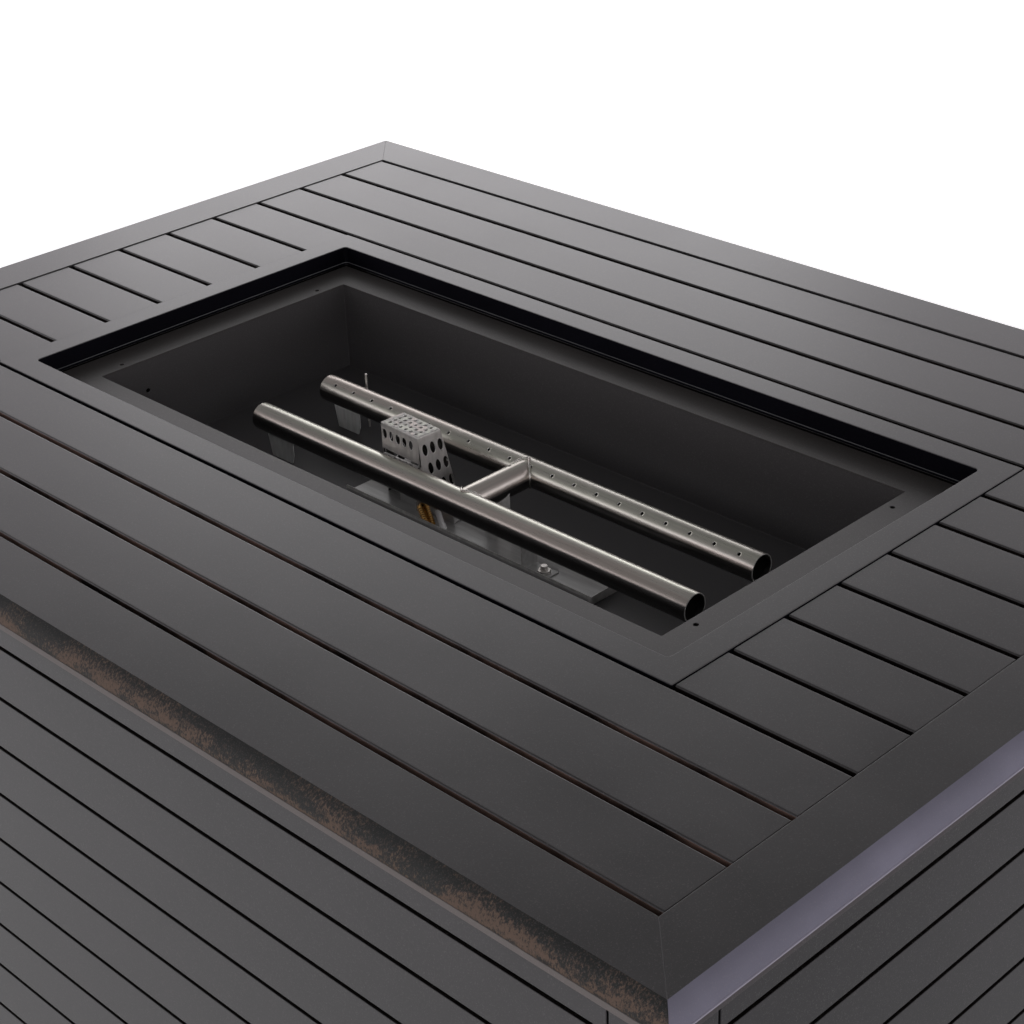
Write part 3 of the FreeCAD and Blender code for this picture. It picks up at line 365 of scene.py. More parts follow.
def coat_faces(piece, material, chosen):
    """Gives a second coat to the faces that are chosen by their centre and normal, and keeps the
    line between the two coats sharp."""
    mesh = piece.data
    mesh.materials.append(material)
    shape = bmesh.new()
    shape.from_mesh(mesh)
    for face in shape.faces:
        if chosen(face.calc_center_median(), face.normal):
            face.material_index = 1
    for edge in shape.edges:
        if len({face.material_index for face in edge.link_faces}) > 1:
            edge.smooth = False
    shape.to_mesh(mesh)
    shape.free()


def shown(shape, piece_name, material, body="root", replaced=(), smooth_deg=32.0):
    """Makes a piece that is smooth over shallow angles, rides on a body and stands for nodes."""
    for face in shape.faces:
        face.smooth = True
    piece = made_piece(shape, piece_name)
    piece.data.set_sharp_from_angle(angle=math.radians(smooth_deg))
    piece.data.materials.append(material)
    weighted = piece.modifiers.new("flat_faces", "WEIGHTED_NORMAL")
    weighted.keep_sharp = True
    weighted.weight = 80
    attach(piece, body)
    if replaced:
        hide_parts(*replaced)
    return piece


def round_edges(shape, edges, width, segments=2):
    bmesh.ops.bevel(shape, geom=edges, offset=width, segments=segments, profile=0.5,
                    affect="EDGES", clamp_overlap=True, material=-1)


def finished_copy(node_name, piece_name, edge, material, body="root", segments=2,
                  smooth_deg=32.0, least_deg=30.0):
    """Copy of a CAD node with its triangles merged, its sharp edges rounded and its large faces
    kept flat in the shading."""
    shape = bmesh.new()
    shape.from_mesh(nodes[node_name].data)
    bmesh.ops.remove_doubles(shape, verts=shape.verts, dist=1e-6)
    bmesh.ops.dissolve_limit(
        shape, angle_limit=math.radians(1.0), verts=shape.verts, edges=shape.edges
    )
    if edge:
        sharp = [e for e in shape.edges
                 if len(e.link_faces) == 2 and e.calc_face_angle(0.0) > math.radians(least_deg)]
        round_edges(shape, sharp, edge, segments)
    return shown(shape, piece_name, material, body, [node_name],
                 smooth_deg if not edge else 50.0)


board_coat = coat_material("board_coat", tones=inner_shade_tones)
# The same powder coat on every nose, painted as shade on the front and back and as a highlight on
# the sides.
shaded_front_nose = coat_material(
    "shaded_front_nose_coat", roughness=0.62, sheen=0.22, bump=0.3,
    tones=nose_light_and_fleck_tones(shaded_nose_tone, lit_front_lip_tone, lit_front_lip_tone, 1.0),
)
lit_side_nose = coat_material(
    "lit_side_nose_coat", roughness=0.62, sheen=0.22, bump=0.3,
    tones=nose_light_and_fleck_tones(lit_side_nose_tone, shaded_side_lip_tone, side_highlight_line_tone, 0.10),
)
for side, axis, coat in (("front", 1, shaded_front_nose), ("back", 1, shaded_front_nose),
                         ("left", 0, lit_side_nose), ("right", 0, lit_side_nose)):
    board = finished_copy("top_board_" + side, "coated_board_" + side, board_edge, board_coat)
    edge_line = cad_high[axis] - nose_reach
    coat_faces(board, coat, lambda centre, normal: abs(centre[axis]) > edge_line
               and normal.z < 0.985 and normal.z > -0.5)


# Slats of the top
# Flat extruded slats lie across the frame, three before and three behind the burner and seven
# at each end, in the same coat. Down in the gaps the coat is painted dark as shade, and the
# cross rails under the slats are painted dark as shade too.
slat_round = 0.6 * mm
slat_face = table_top - 0.8 * mm


def gap_shade_tones(face_z):
    """Painted shade: dark coat below the upper faces, with a soft start under the edge."""
    def tones(tree, dark, light):
        deep = ramp_between(tree, height_on_piece(tree), face_z - 0.6 * mm, face_z - 1.5 * mm)
        fleck = math_node(tree, "MULTIPLY", deep, 0.15)
        return *toned(tree, deep, dark, light, gap_shade_tone), fleck
    return tones


# Painted shade in the gaps: the slats darken below their top face, the rails are near black, and
# the slats' side faces are near black, those of the front slats with brown patches.
slat_coat = coat_material("slat_coat", tones=gap_shade_tones(slat_face))
rail_coat = coat_material("rail_coat", gap_shade_tone, (0.008, 0.007, 0.006), roughness=0.5)
gap_coat = coat_material("gap_coat", (0.012, 0.0085, 0.0075), (0.150, 0.098, 0.080), brown_patch_tones,
                         roughness=0.6, sheen=0.12)
dark_gap_coat = coat_material("dark_gap_coat", gap_shade_tone, (0.010, 0.0065, 0.0055), roughness=0.6,
                              sheen=0.05, specks=0.04)
for name, coat in (("long_slats_front", gap_coat), ("long_slats_back", dark_gap_coat),
                   ("short_slats_left", dark_gap_coat), ("short_slats_right", dark_gap_coat)):
    slats = finished_copy(name, "coated_" + name, slat_round, slat_coat)
    coat_faces(slats, coat, lambda centre, normal: normal.z < 0.3)
finished_copy("cross_rails", "coated_cross_rails", 0.0, rail_coat)


# Burner ring
# A box-section ring, welded and ground flush, frames the opening and carries the pan on an inner
# ledge. Its upright faces are painted nearly black as shade, with a pale painted highlight line
# along their foot, where the pan meets them. Its other faces are painted dark below the top as
# shade.
# Pale painted highlight line at the foot of the ring's upright faces.
wall_highlight_foot = table_top - 16.8 * mm
wall_highlight_height = 0.8 * mm
wall_highlight_tone = (0.105, 0.108, 0.110)


def wall_highlight_tones(tree, dark, light):
    """A pale painted highlight line near the foot of the wall."""
    height = height_on_piece(tree)
    over = ramp_between(tree, height, wall_highlight_foot - 0.2 * mm, wall_highlight_foot + 0.2 * mm)
    under = ramp_between(tree, height, wall_highlight_foot + wall_highlight_height, wall_highlight_foot + wall_highlight_height / 2)
    highlight = math_node(tree, "MULTIPLY", over, under)
    return *toned(tree, highlight, dark, light, wall_highlight_tone), 0.0


# Painted shade: the ring's upright faces are near black and its other faces darken below the top.
ring_coat = coat_material("ring_coat", tones=gap_shade_tones(table_top))
ring_wall_coat = coat_material("ring_wall_coat", (0.0012, 0.0012, 0.0026),
                               (0.0022, 0.0022, 0.0042), wall_highlight_tones, roughness=0.5, sheen=0.04,
                               specks=0.015)
ring = finished_copy("burner_surround", "coated_burner_ring", 0.6 * mm, ring_coat)
coat_faces(ring, ring_wall_coat, lambda centre, normal: normal.z < 0.3)


# Burner pan
# Folded from sheet with a wide flange and a drilled floor, sprayed with a flat black coat that
# stands heat. The flange is a little browner than the walls, and its outer edge is painted black
# as the shadow under the ring. The lower walls are painted lighter towards the floor, and the
# floor lighter still, as painted light that evens out the shade deep in the pan.
pan_flange_z = table_top - 18.0 * mm
pan_floor_z = pan_flange_z - 88.0 * mm
pan_inner_x = 338.0 * mm
pan_inner_y = 146.0 * mm
pan_corner = 3.0 * mm
corner_reach = 5.0 * mm
pan_rim_x, pan_rim_y = [reach - 3.5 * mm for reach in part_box("burner_pan")[1][:2]]
flange_dark = (0.021, 0.0185, 0.0172)
flange_light = (0.030, 0.0270, 0.0255)
wall_tone = (0.0340, 0.0322, 0.0326)
# Painted light: the lower walls and floor are painted lighter to even out the shade deep in the
# pan.
painted_fill_tone = (0.0480, 0.0465, 0.0475)


def pan_tones(tree, dark, light):
    """Walls below the flange, and painted light that grows towards the floor."""
    height = height_on_piece(tree)
    wall = ramp_between(tree, height, pan_flange_z - 0.6 * mm, pan_flange_z - 2.5 * mm)
    fill_light = ramp_between(tree, height, pan_floor_z + 55.0 * mm, pan_floor_z)
    dark, light = toned(tree, wall, dark, light, wall_tone)
    return *toned(tree, fill_light, dark, light, painted_fill_tone), 0.0


def sharpen_corners(piece):
    """Draws the rounded upright corners of the folded walls out to a sharp fold."""
    for vert in piece.data.vertices:
        off_x = abs(vert.co.x) - pan_inner_x + pan_corner
        off_y = abs(vert.co.y) - pan_inner_y + pan_corner
        if 0 < off_x < corner_reach and 0 < off_y < corner_reach:
            sharper = math.hypot(off_x, off_y) / max(off_x, off_y)
            vert.co.x += math.copysign(off_x * (sharper - 1), vert.co.x)
            vert.co.y += math.copysign(off_y * (sharper - 1), vert.co.y)


def score_rim(piece):
    """Cuts a line into the flange all round, for the painted black shadow outside it."""
    shape = bmesh.new()
    shape.from_mesh(piece.data)
    for axis, reach in ((0, pan_rim_x), (1, pan_rim_y)):
        for side in (-1, 1):
            way = Vector((0, 0, 0))
            way[axis] = side
            bmesh.ops.bisect_plane(shape, geom=shape.verts[:] + shape.edges[:] + shape.faces[:],
                                   plane_co=way * reach, plane_no=way)
    shape.to_mesh(piece.data)
    shape.free()


pan_coat = coat_material("pan_coat", flange_dark, flange_light, pan_tones, roughness=0.44,
                         bump=0.2)
pan = finished_copy("burner_pan", "folded_burner_pan", 0.4 * mm, pan_coat)
sharpen_corners(pan)
score_rim(pan)
# Painted shadow: the flange outside the scored line is near black, as the shade under the ring.
shadow_rim_coat = coat_material("pan_rim_shadow_coat", (0.0012, 0.0012, 0.0012), (0.0020, 0.0020, 0.0020),
                         roughness=0.7, sheen=0.02, specks=0.01)
coat_faces(pan, shadow_rim_coat,
           lambda centre, normal: abs(centre.x) > pan_rim_x or abs(centre.y) > pan_rim_y)


# Burner tubes
# Two stainless steel tubes lie along the pan, drilled with a row of flame ports on the sides
# that face each other and closed by caps pressed in a little way. Drawing leaves long faint
# bands in the metal, and the flame tints it straw, pink and green. Below a set height the tubes
# are painted dark, as painted shade and a painted reflection of the dark pan, and the caps are
# painted near black as the shade inside the tube ends.
tube_radius = 12.7 * mm
tube_wall = 1.2 * mm
tube_left = -246.5 * mm
tube_right = 276.5 * mm
axis_z = pan_floor_z + 37.7 * mm
front_tube_y = -36.95 * mm
back_tube_y = 44.55 * mm
port_size = 1.8 * mm
port_cell = 2.4 * mm
port_sides = 8
port_pitch = 25.7 * mm
port_count = 20
port_rise = 54.0
tube_sides = 48
steel_base = (0.55, 0.528, 0.480)
steel_pink = (0.58, 0.500, 0.455)
steel_green = (0.50, 0.512, 0.430)
# Painted shade and a painted reflection of the dark pan on the tubes' lower sides.
underside_shade_tone = (0.17, 0.165, 0.160)
underside_shade_fade = 0.9 * mm
grain_relief = 0.1 * mm


def drawn_steel_group():
    """Drawn or rolled steel: bands along the stretch, fine grain, and a heat tint."""
    tree, start, end = new_group("drawn_steel", [
        ("Base", "Color", (*steel_base, 1.0)),
        ("Stretch", "Vector", (1.0, 1.0, 1.0)),
        ("Heat", "Float", 0.5),
        ("Roughness", "Float", 0.30),
    ])
    place = place_on_piece(tree)
    drawn = scaled(tree, place, start.outputs["Stretch"])
    bands = noise_node(tree, drawn, 230.0, 2.0, 0.5)
    grain = noise_node(tree, drawn, 2600.0, 2.0, 0.6)
    pink = noise_node(tree, scaled(tree, drawn, (1.0, 1.0, 1.6)), 95.0, 2.0, 0.5)
    marks = noise_node(tree, place, 60.0, 4.0, 0.62)
    shade = mix_colour(tree, ramp_between(tree, bands, 0.30, 0.70), (0.80, 0.80, 0.80),
                       (1.0, 1.0, 1.0))
    warm = math_node(tree, "MULTIPLY", ramp_between(tree, pink, 0.50, 0.62), start.outputs["Heat"])
    cool = math_node(tree, "MULTIPLY", ramp_between(tree, pink, 0.50, 0.38), start.outputs["Heat"])
    colour = mix_colour(tree, warm, start.outputs["Base"], steel_pink)
    colour = mix_colour(tree, cool, colour, steel_green)
    tree.links.new(mix_colour(tree, 1.0, colour, shade, "MULTIPLY"), end.inputs["Color"])
    rough = added(tree, start.outputs["Roughness"], grain, 0.10)
    rough = added(tree, rough, ramp_between(tree, marks, 0.55, 0.75), 0.10)
    tree.links.new(rough, end.inputs["Roughness"])
    tree.links.new(grain, end.inputs["Height"])
    return tree


drawn_steel = drawn_steel_group()


def steel_material(name, base=steel_base, stretch=(1.0, 1.0, 1.0), heat=0.0, roughness=0.30,
                   bump=0.05, metallic=1.0, shaded_below=None):
    """Steel with its own heat tint; below a given height a tube is painted dark, as painted shade
    and a painted reflection of the dark pan.
    """
    material, tree, shader = new_material(name)
    metal = tree.nodes.new("ShaderNodeGroup")
    metal.node_tree = drawn_steel
    metal.inputs["Base"].default_value = (*base, 1.0)
    metal.inputs["Stretch"].default_value = stretch
    metal.inputs["Heat"].default_value = heat
    metal.inputs["Roughness"].default_value = roughness
    colour = metal.outputs["Color"]
    if shaded_below:
        unshaded = ramp_between(tree, height_on_piece(tree), shaded_below - underside_shade_fade,
                             shaded_below + underside_shade_fade)
        colour = mix_colour(tree, unshaded, underside_shade_tone, colour)
    tree.links.new(colour, shader.inputs["Base Color"])
    tree.links.new(metal.outputs["Roughness"], shader.inputs["Roughness"])
    shader.inputs["Metallic"].default_value = metallic
    add_relief(tree, shader, metal.outputs["Height"], bump, grain_relief)
    return material


def stations(places, low, high):
    """Ring positions along a tube: its ends and both sides of each port."""
    rings = [low]
    for place in places:
        rings += [place - port_cell, place + port_cell]
    return rings + [high]


def picked(geometry, kind):
    return [part for part in geometry if isinstance(part, kind)]


def draw_tube(shape, start, along, rings):
    """Draws a round of the tube's size out ring by ring; returns the corners of both ends."""
    bmesh.ops.create_circle(shape, cap_ends=False, radius=tube_radius, segments=tube_sides,
                            matrix=start)
    first = shape.verts[:]
    edges = shape.edges[:]
    for near, far in zip(rings, rings[1:]):
        drawn = bmesh.ops.extrude_edge_only(shape, edges=edges)["geom"]
        edges = picked(drawn, bmesh.types.BMEdge)
        last = picked(drawn, bmesh.types.BMVert)
        bmesh.ops.translate(shape, verts=last, vec=along * (far - near))
    return first, last


def punch(shape, middle, aim, along, place):
    """Opens a round port in the skin: three faces come out and a ring of eight corners goes in."""
    column = [f for f in shape.faces
              if place - port_cell < f.calc_center_median().dot(along) < place + port_cell]
    column.sort(key=lambda f: -(f.calc_center_median() - middle).dot(aim))
    gone = column[:3]
    rim = {e for f in gone for e in f.edges if any(other not in gone for other in e.link_faces)}
    bmesh.ops.delete(shape, geom=gone, context="FACES")
    across = aim.cross(along)
    turn = Matrix((along, across, aim)).transposed().to_4x4()
    hole = bmesh.ops.create_circle(
        shape, cap_ends=False, radius=port_size, segments=port_sides,
        matrix=Matrix.Translation(middle + aim * tube_radius) @ turn
        @ Matrix.Rotation(math.pi / port_sides, 4, "Z"),
    )
    for vert in hole["verts"]:
        off = vert.co - middle
        lengthwise = along * off.dot(along)
        vert.co = middle + lengthwise + (off - lengthwise).normalized() * tube_radius
    edges = list(rim) + list({e for v in hole["verts"] for e in v.link_edges})
    bmesh.ops.bridge_loops(shape, edges=edges)


def wall_modifier(piece, thickness):
    """Gives the skin its wall inwards, before the shading normals."""
    wall = piece.modifiers.new("wall", "SOLIDIFY")
    wall.thickness = thickness
    wall.offset = -1.0
    piece.modifiers.move(len(piece.modifiers) - 1, 0)


def flame_tube(node_name, piece_name, y, inward, material):
    """Drilled tube along X, with a ring on both sides of each port."""
    rise = port_rise if inward > 0 else 180.0 - port_rise
    aim = Vector((0, math.cos(math.radians(rise)), math.sin(math.radians(rise))))
    first_x = (tube_left + tube_right - (port_count - 1) * port_pitch) / 2
    places = [first_x + i * port_pitch for i in range(port_count)]
    half_side = 180.0 / tube_sides
    start = (Matrix.Translation((tube_left, y, axis_z))
             @ Matrix.Rotation(math.radians(rise + 90.0 - half_side), 4, "X")
             @ Matrix.Rotation(math.radians(90.0), 4, "Y"))
    along = Vector((1, 0, 0))
    shape = bmesh.new()
    draw_tube(shape, start, along, stations(places, tube_left, tube_right))
    for x in places:
        punch(shape, Vector((x, y, axis_z)), aim, along, x)
    bmesh.ops.recalc_face_normals(shape, faces=shape.faces)
    piece = shown(shape, piece_name, material, "root", [node_name], 40.0)
    piece.data.materials.append(cut_steel_highlight)
    wall_modifier(piece, tube_wall)
    piece.modifiers["wall"].material_offset_rim = 1


# Bare cut steel, painted paler and less metallic than steel so that cut edges, hole walls, the
# tab, the plate lip and the flame strip show as painted highlight lines.
cut_steel_highlight = steel_material("cut_steel_highlight", (0.80, 0.79, 0.76), metallic=0.2)
# Each tube is painted dark below its shade height, as painted shade and reflection.
for name, y, inward, shade_height in (("front", front_tube_y, 1, 6.3 * mm),
                                      ("back", back_tube_y, -1, 3.0 * mm)):
    tube_steel = steel_material("flame_tube_steel_" + name, stretch=(0.02, 1.0, 1.0), heat=0.6,
                                roughness=0.24, shaded_below=axis_z + shade_height)
    flame_tube("burner_tube_" + name, "flame_tube_" + name, y, inward, tube_steel)

# Painted shade: near-black caps for the shade inside the tube ends.
shaded_cap_steel = steel_material("shaded_tube_cap_steel", (0.045, 0.043, 0.041), roughness=0.55)
finished_copy("tube_end_caps", "pressed_tube_caps", 0.0, shaded_cap_steel)


# Cross tube and welds
# A third tube joins the two into an H. Its ends are coped to the round of the long tubes and
# held by a narrow bright bead of weld, and one port near the back lights the cross.
cross_x = 19.0 * mm
cross_port_x = cross_x - 4.0 * mm
cross_port_y = back_tube_y - tube_radius - 8.0 * mm
cross_front_ring = front_tube_y + 20.0 * mm
bead_radius = 1.3 * mm
bead_points = 48
bead_round = tube_radius + 0.2 * mm

cross_along = Vector((0, 1, 0))
cross_start = (Matrix.Translation((cross_x, front_tube_y, axis_z))
               @ Matrix.Rotation(math.radians(-90.0), 4, "X"))
cross_rings = stations([cross_port_y], front_tube_y, back_tube_y)
cross_rings.insert(1, cross_front_ring)
cross = bmesh.new()
cross_ends = draw_tube(cross, cross_start, cross_along, cross_rings)
for verts, way in zip(cross_ends, (1, -1)):
    for vert in verts:
        rise = min(abs(vert.co.z - axis_z), tube_radius)
        vert.co.y += way * math.sqrt(tube_radius ** 2 - rise ** 2)
cross_aim = Vector((cross_port_x - cross_x, 0, tube_radius)).normalized()
punch(cross, Vector((cross_x, cross_port_y, axis_z)), cross_aim, cross_along, cross_port_y)
bmesh.ops.recalc_face_normals(cross, faces=cross.faces)
# The cross tube is painted dark from just above its axis downwards, as painted shade.
cross_steel = steel_material("cross_tube_steel", (0.53, 0.49, 0.45), (1.0, 0.02, 1.0), heat=0.7,
                             roughness=0.26, shaded_below=axis_z + 1.0 * mm)
wall_modifier(
    shown(cross, "cross_tube", cross_steel, "root", ["burner_cross_tube"], 40.0),
    tube_wall,
)

bead_steel = steel_material("weld_steel", (0.62, 0.60, 0.56), heat=0.5, roughness=0.2, bump=0.6)
for name, y, way in (("front", front_tube_y, 1), ("back", back_tube_y, -1)):
    line = bpy.data.curves.new("weld_" + name, "CURVE")
    line.dimensions = "3D"
    line.bevel_depth = bead_radius
    line.bevel_resolution = 3
    run = line.splines.new("NURBS")
    run.points.add(bead_points - 1)
    for i, point in enumerate(run.points):
        turn = 2 * math.pi * i / bead_points
        x = cross_x + bead_round * math.cos(turn)
        z = bead_round * math.sin(turn)
        reach = math.sqrt(max(bead_round ** 2 - z * z, 0.0))
        point.co = (x, y + way * reach, axis_z + z, 1.0)
    run.order_u = 3
    run.use_cyclic_u = True
    line.materials.append(bead_steel)
    bead = bpy.data.objects.new("weld_bead_" + name, line)
    bpy.context.collection.objects.link(bead)
    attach(bead, "root")


# Legs, plate and fixings of the burner
# Bent strips of steel under the left ends of the tubes, a folded mounting strip on the floor of
# the pan with an upright tab and its bolt, a locating pin, and a forged hexagonal socket.
tab_left = 60.0 * mm
tab_right = 140.0 * mm
tab_front = -39.0 * mm
plate_top = pan_floor_z + 1.6 * mm
tab_edge = pan_floor_z + 4.0 * mm
tab_shift = Vector((7.0 * mm, -7.5 * mm, 0))
lip_left = -128.0 * mm
lip_right = 171.0 * mm
lip_front = -40.9 * mm
lip_back = 3.0 * mm
lip_height = 7.5 * mm
lip_sheet = 1.2 * mm

leg_steel = steel_material("leg_steel", (0.72, 0.74, 0.72), (1, 1, 0.2), heat=0.15,
                           roughness=0.32, metallic=0.15)
plate_steel = steel_material("plate_steel", (0.56, 0.56, 0.55), (0.1, 1, 1), roughness=0.28,
                             metallic=0.35)
bolt_steel = steel_material("bolt_steel", (0.80, 0.77, 0.73), heat=0.3, roughness=0.20,
                            metallic=0.6)
socket_steel = steel_material("socket_steel", (0.75, 0.74, 0.72), heat=0.2, roughness=0.26,
                              bump=0.4, metallic=0.4)
finished_copy("burner_legs", "bent_burner_legs", 0.3 * mm, leg_steel)
plate = finished_copy("burner_mount_plate", "folded_mount_plate", 0.3 * mm, plate_steel)
fixings = finished_copy("burner_fixings", "burner_bolt_and_pin", 0.2 * mm, bolt_steel)
for piece in (plate, fixings):
    for vert in piece.data.vertices:
        x, y, z = vert.co
        if tab_left < x < tab_right and y > tab_front and z > plate_top:
            vert.co += tab_shift
# The upright tab's front faces get the pale cut-edge steel, a painted highlight.
coat_faces(plate, cut_steel_highlight, lambda centre, normal: centre.z > tab_edge and normal.y < -0.7
           and tab_left < centre.x < tab_right)

lip = bmesh.new()
lip_line = [(lip_left, lip_front), (lip_right, lip_front), (lip_right, lip_back)]
lip_foot = [lip.verts.new((x, y, pan_floor_z)) for x, y in lip_line]
lip_run = [lip.edges.new(pair) for pair in zip(lip_foot, lip_foot[1:])]
lip_drawn = bmesh.ops.extrude_edge_only(lip, edges=lip_run)["geom"]
bmesh.ops.translate(lip, verts=picked(lip_drawn, bmesh.types.BMVert), vec=(0, 0, lip_height))
bmesh.ops.recalc_face_normals(lip, faces=lip.faces)
lip_piece = shown(lip, "mount_plate_lip", cut_steel_highlight, "root", [], 30.0)
wall_modifier(lip_piece, lip_sheet)
finished_copy("inlet_coupling", "forged_inlet_socket", 0.6 * mm, socket_steel)


# Pilot hood
# A wedge of thin stainless sheet, folded and punched: five oval holes across the front, rows of
# leaning slots down each side, and a close pattern of small holes in the roof. It is sooty
# inside and dulled by heat on the roof.
hood_steel = steel_material("hood_steel", (0.56, 0.545, 0.52), (1, 1, 0.3), heat=0.12,
                            metallic=0.35)
roof_steel = steel_material("hood_roof_steel", (0.20, 0.195, 0.185), heat=0.5, roughness=0.32,
                            metallic=0.8)
sooty_steel = steel_material("sooty_steel", (0.030, 0.028, 0.026), heat=0.1, roughness=0.6,
                             metallic=0.3)
hood_left = -101.0 * mm
hood_right = -51.0 * mm
hood_front = -19.4 * mm
hood_floor = pan_floor_z + 1.5 * mm
hood_top = pan_floor_z + 71.0 * mm
hood_mouth = hood_top - 25.5 * mm
hood_knee = hood_top - 56.0 * mm
hood_roof_back = hood_front + 26.6 * mm
hood_foot = hood_front + 40.5 * mm
hood_middle = hood_front + 14.0 * mm
side_step = 3.0 * mm
side_drop = 6.0 * mm
hood_sheet = 1.2 * mm
hood_turn = math.radians(-2.6)
fold_radius = 1.5 * mm
front_hole = 3.2 * mm
front_hole_pitch = 8.9 * mm
front_hole_off = -3.0 * mm
front_hole_drop = 10.8 * mm
slot_size = 2.9 * mm
slot_pitch = 8.7 * mm
slot_in = 8.0 * mm
slot_drop = 14.6 * mm
slot_row_in = 5.5 * mm
slot_row_drop = 19.3 * mm
slot_lean = math.atan2(slot_row_in, slot_row_drop)
roof_hole = 2.0 * mm
roof_pitch_x = 7.0 * mm
roof_pitch_y = 5.6 * mm
punch_reach = 3.0 * mm


def hood_skin():
    """Folds the sheet into a wedge that is open below and under the front face."""
    skin = bmesh.new()
    line = [(hood_front, hood_mouth), (hood_front, hood_top), (hood_roof_back, hood_top),
            (hood_foot, hood_knee), (hood_foot, hood_floor)]
    left = [skin.verts.new((hood_left, y, z)) for y, z in line]
    run = [skin.edges.new(pair) for pair in zip(left, left[1:])]
    drawn = bmesh.ops.extrude_edge_only(skin, edges=run)["geom"]
    right = picked(drawn, bmesh.types.BMVert)
    bmesh.ops.translate(skin, verts=right, vec=(hood_right - hood_left, 0, 0))
    for verts, x in ((left, hood_left), (right, hood_right)):
        low = [skin.verts.new((x, hood_front + side_step, z))
               for z in (hood_mouth - side_drop, hood_floor)]
        skin.faces.new(sorted(verts + low, key=lambda v: math.atan2(v.co.z - hood_knee,
                                                                    v.co.y - hood_middle)))
    bmesh.ops.recalc_face_normals(skin, faces=skin.faces)
    round_edges(skin, [e for e in skin.edges if len(e.link_faces) == 2], fold_radius, 4)
    return skin


def punch_through(shape, centre, toward, radius, stretch=1.0, lean=0.0, sides=14):
    """Adds a punch: a disc, stretched upright for a slot, drawn through the sheet."""
    up = Vector((0, 1, 0)) if abs(toward.z) > 0.5 else Vector((0, -math.sin(lean), math.cos(lean)))
    turn = Matrix((toward.cross(up), up, toward)).transposed().to_4x4()
    disc = bmesh.ops.create_circle(
        shape, cap_ends=True, radius=radius, segments=sides,
        matrix=Matrix.Translation(centre - toward * punch_reach) @ turn
        @ Matrix.Diagonal((1, stretch, 1, 1)),
    )
    drawn = bmesh.ops.extrude_face_region(shape, geom=[disc["verts"][0].link_faces[0]])["geom"]
    bmesh.ops.translate(shape, verts=picked(drawn, bmesh.types.BMVert),
                        vec=toward * 2 * punch_reach)


def hood_punches():
    """Oval holes in the front, leaning slots in both sides, and small holes in the roof."""
    shape = bmesh.new()
    middle_x = (hood_left + hood_right) / 2
    middle_y = (hood_front + hood_roof_back) / 2
    for column in range(5):
        x = middle_x + front_hole_off + (column - 2) * front_hole_pitch
        punch_through(shape, Vector((x, hood_front, hood_top - front_hole_drop)),
                      Vector((0, 1, 0)), front_hole, 1.5)
    for x, way in ((hood_left, 1), (hood_right, -1)):
        for row in range(3):
            for column in range(3):
                y = hood_front + slot_in + column * slot_pitch + row * slot_row_in
                z = hood_top - slot_drop - row * slot_row_drop
                punch_through(shape, Vector((x, y, z)), Vector((way, 0, 0)), slot_size, 2.2,
                              slot_lean)
    for column in range(6):
        for row in range(4):
            centre = Vector((middle_x + (column - 2.5) * roof_pitch_x,
                             middle_y + (row - 1.5) * roof_pitch_y, hood_top))
            punch_through(shape, centre, Vector((0, 0, -1)), roof_hole, sides=10)
    bmesh.ops.recalc_face_normals(shape, faces=shape.faces)
    return shape


def pilot_hood():
    """Gives the folded skin its thickness, punches it, and turns it a little on its foot."""
    hood = shown(hood_skin(), "punched_pilot_hood", hood_steel, "root",
                 ["pilot_hood"], 30.0)
    coat_faces(hood, roof_steel, lambda centre, normal: normal.z > 0.9)
    hood.data.materials.append(sooty_steel)
    punches = made_piece(hood_punches(), "hood_punches")
    punches.data.materials.append(cut_steel_highlight)
    wall_modifier(hood, hood_sheet)
    hood.modifiers["wall"].material_offset = 2
    cut = hood.modifiers.new("holes", "BOOLEAN")
    cut.object = punches
    cut.solver = "EXACT"
    cut.material_mode = "TRANSFER"
    hood.modifiers.move(len(hood.modifiers) - 1, 1)
    bpy.context.view_layer.update()
    punched = bpy.data.meshes.new_from_object(
        hood.evaluated_get(bpy.context.evaluated_depsgraph_get()))
    hood.modifiers.clear()
    hood.data = punched
    bpy.data.objects.remove(punches)
    middle = Vector(((hood_left + hood_right) / 2, (hood_front + hood_roof_back) / 2, 0))
    punched.transform(Matrix.Translation(middle) @ Matrix.Rotation(hood_turn, 4, "Z")
                      @ Matrix.Translation(-middle))


pilot_hood()


# Pilot parts
# Turned pilot burner and ribbed brass orifice fitting, a steel bracket, a slotted strip that
# leads the flame across, a spark wire in a glazed ceramic sleeve, and the tip of the flame sensor.
nut_foot = Vector((-29.0 * mm, -33.0 * mm, pan_floor_z + 1.5 * mm))
nut_axis = Vector((-0.45, 0.0, 0.89)).normalized()
nut_ribs = 9
rib_pitch = 1.9 * mm
strip_z = pan_floor_z + 41.5 * mm
tooth_size = (5.0 * mm, 1.4 * mm, 2.6 * mm, 1.0)
tooth_left = -95.0 * mm
tooth_y = -20.4 * mm
tooth_pitch = 7.6 * mm
tooth_count = 6
bar_place = (-76.0 * mm, -19.0 * mm, strip_z)
bar_size = (44.0 * mm, 1.6 * mm, 1.2 * mm, 1.0)
sleeve_foot = Vector((-12.5 * mm, -31.5 * mm, pan_floor_z + 1.5 * mm))
sleeve_axis = Vector((-0.40, 0.0, 0.92)).normalized()
sleeve_length = 17.2 * mm


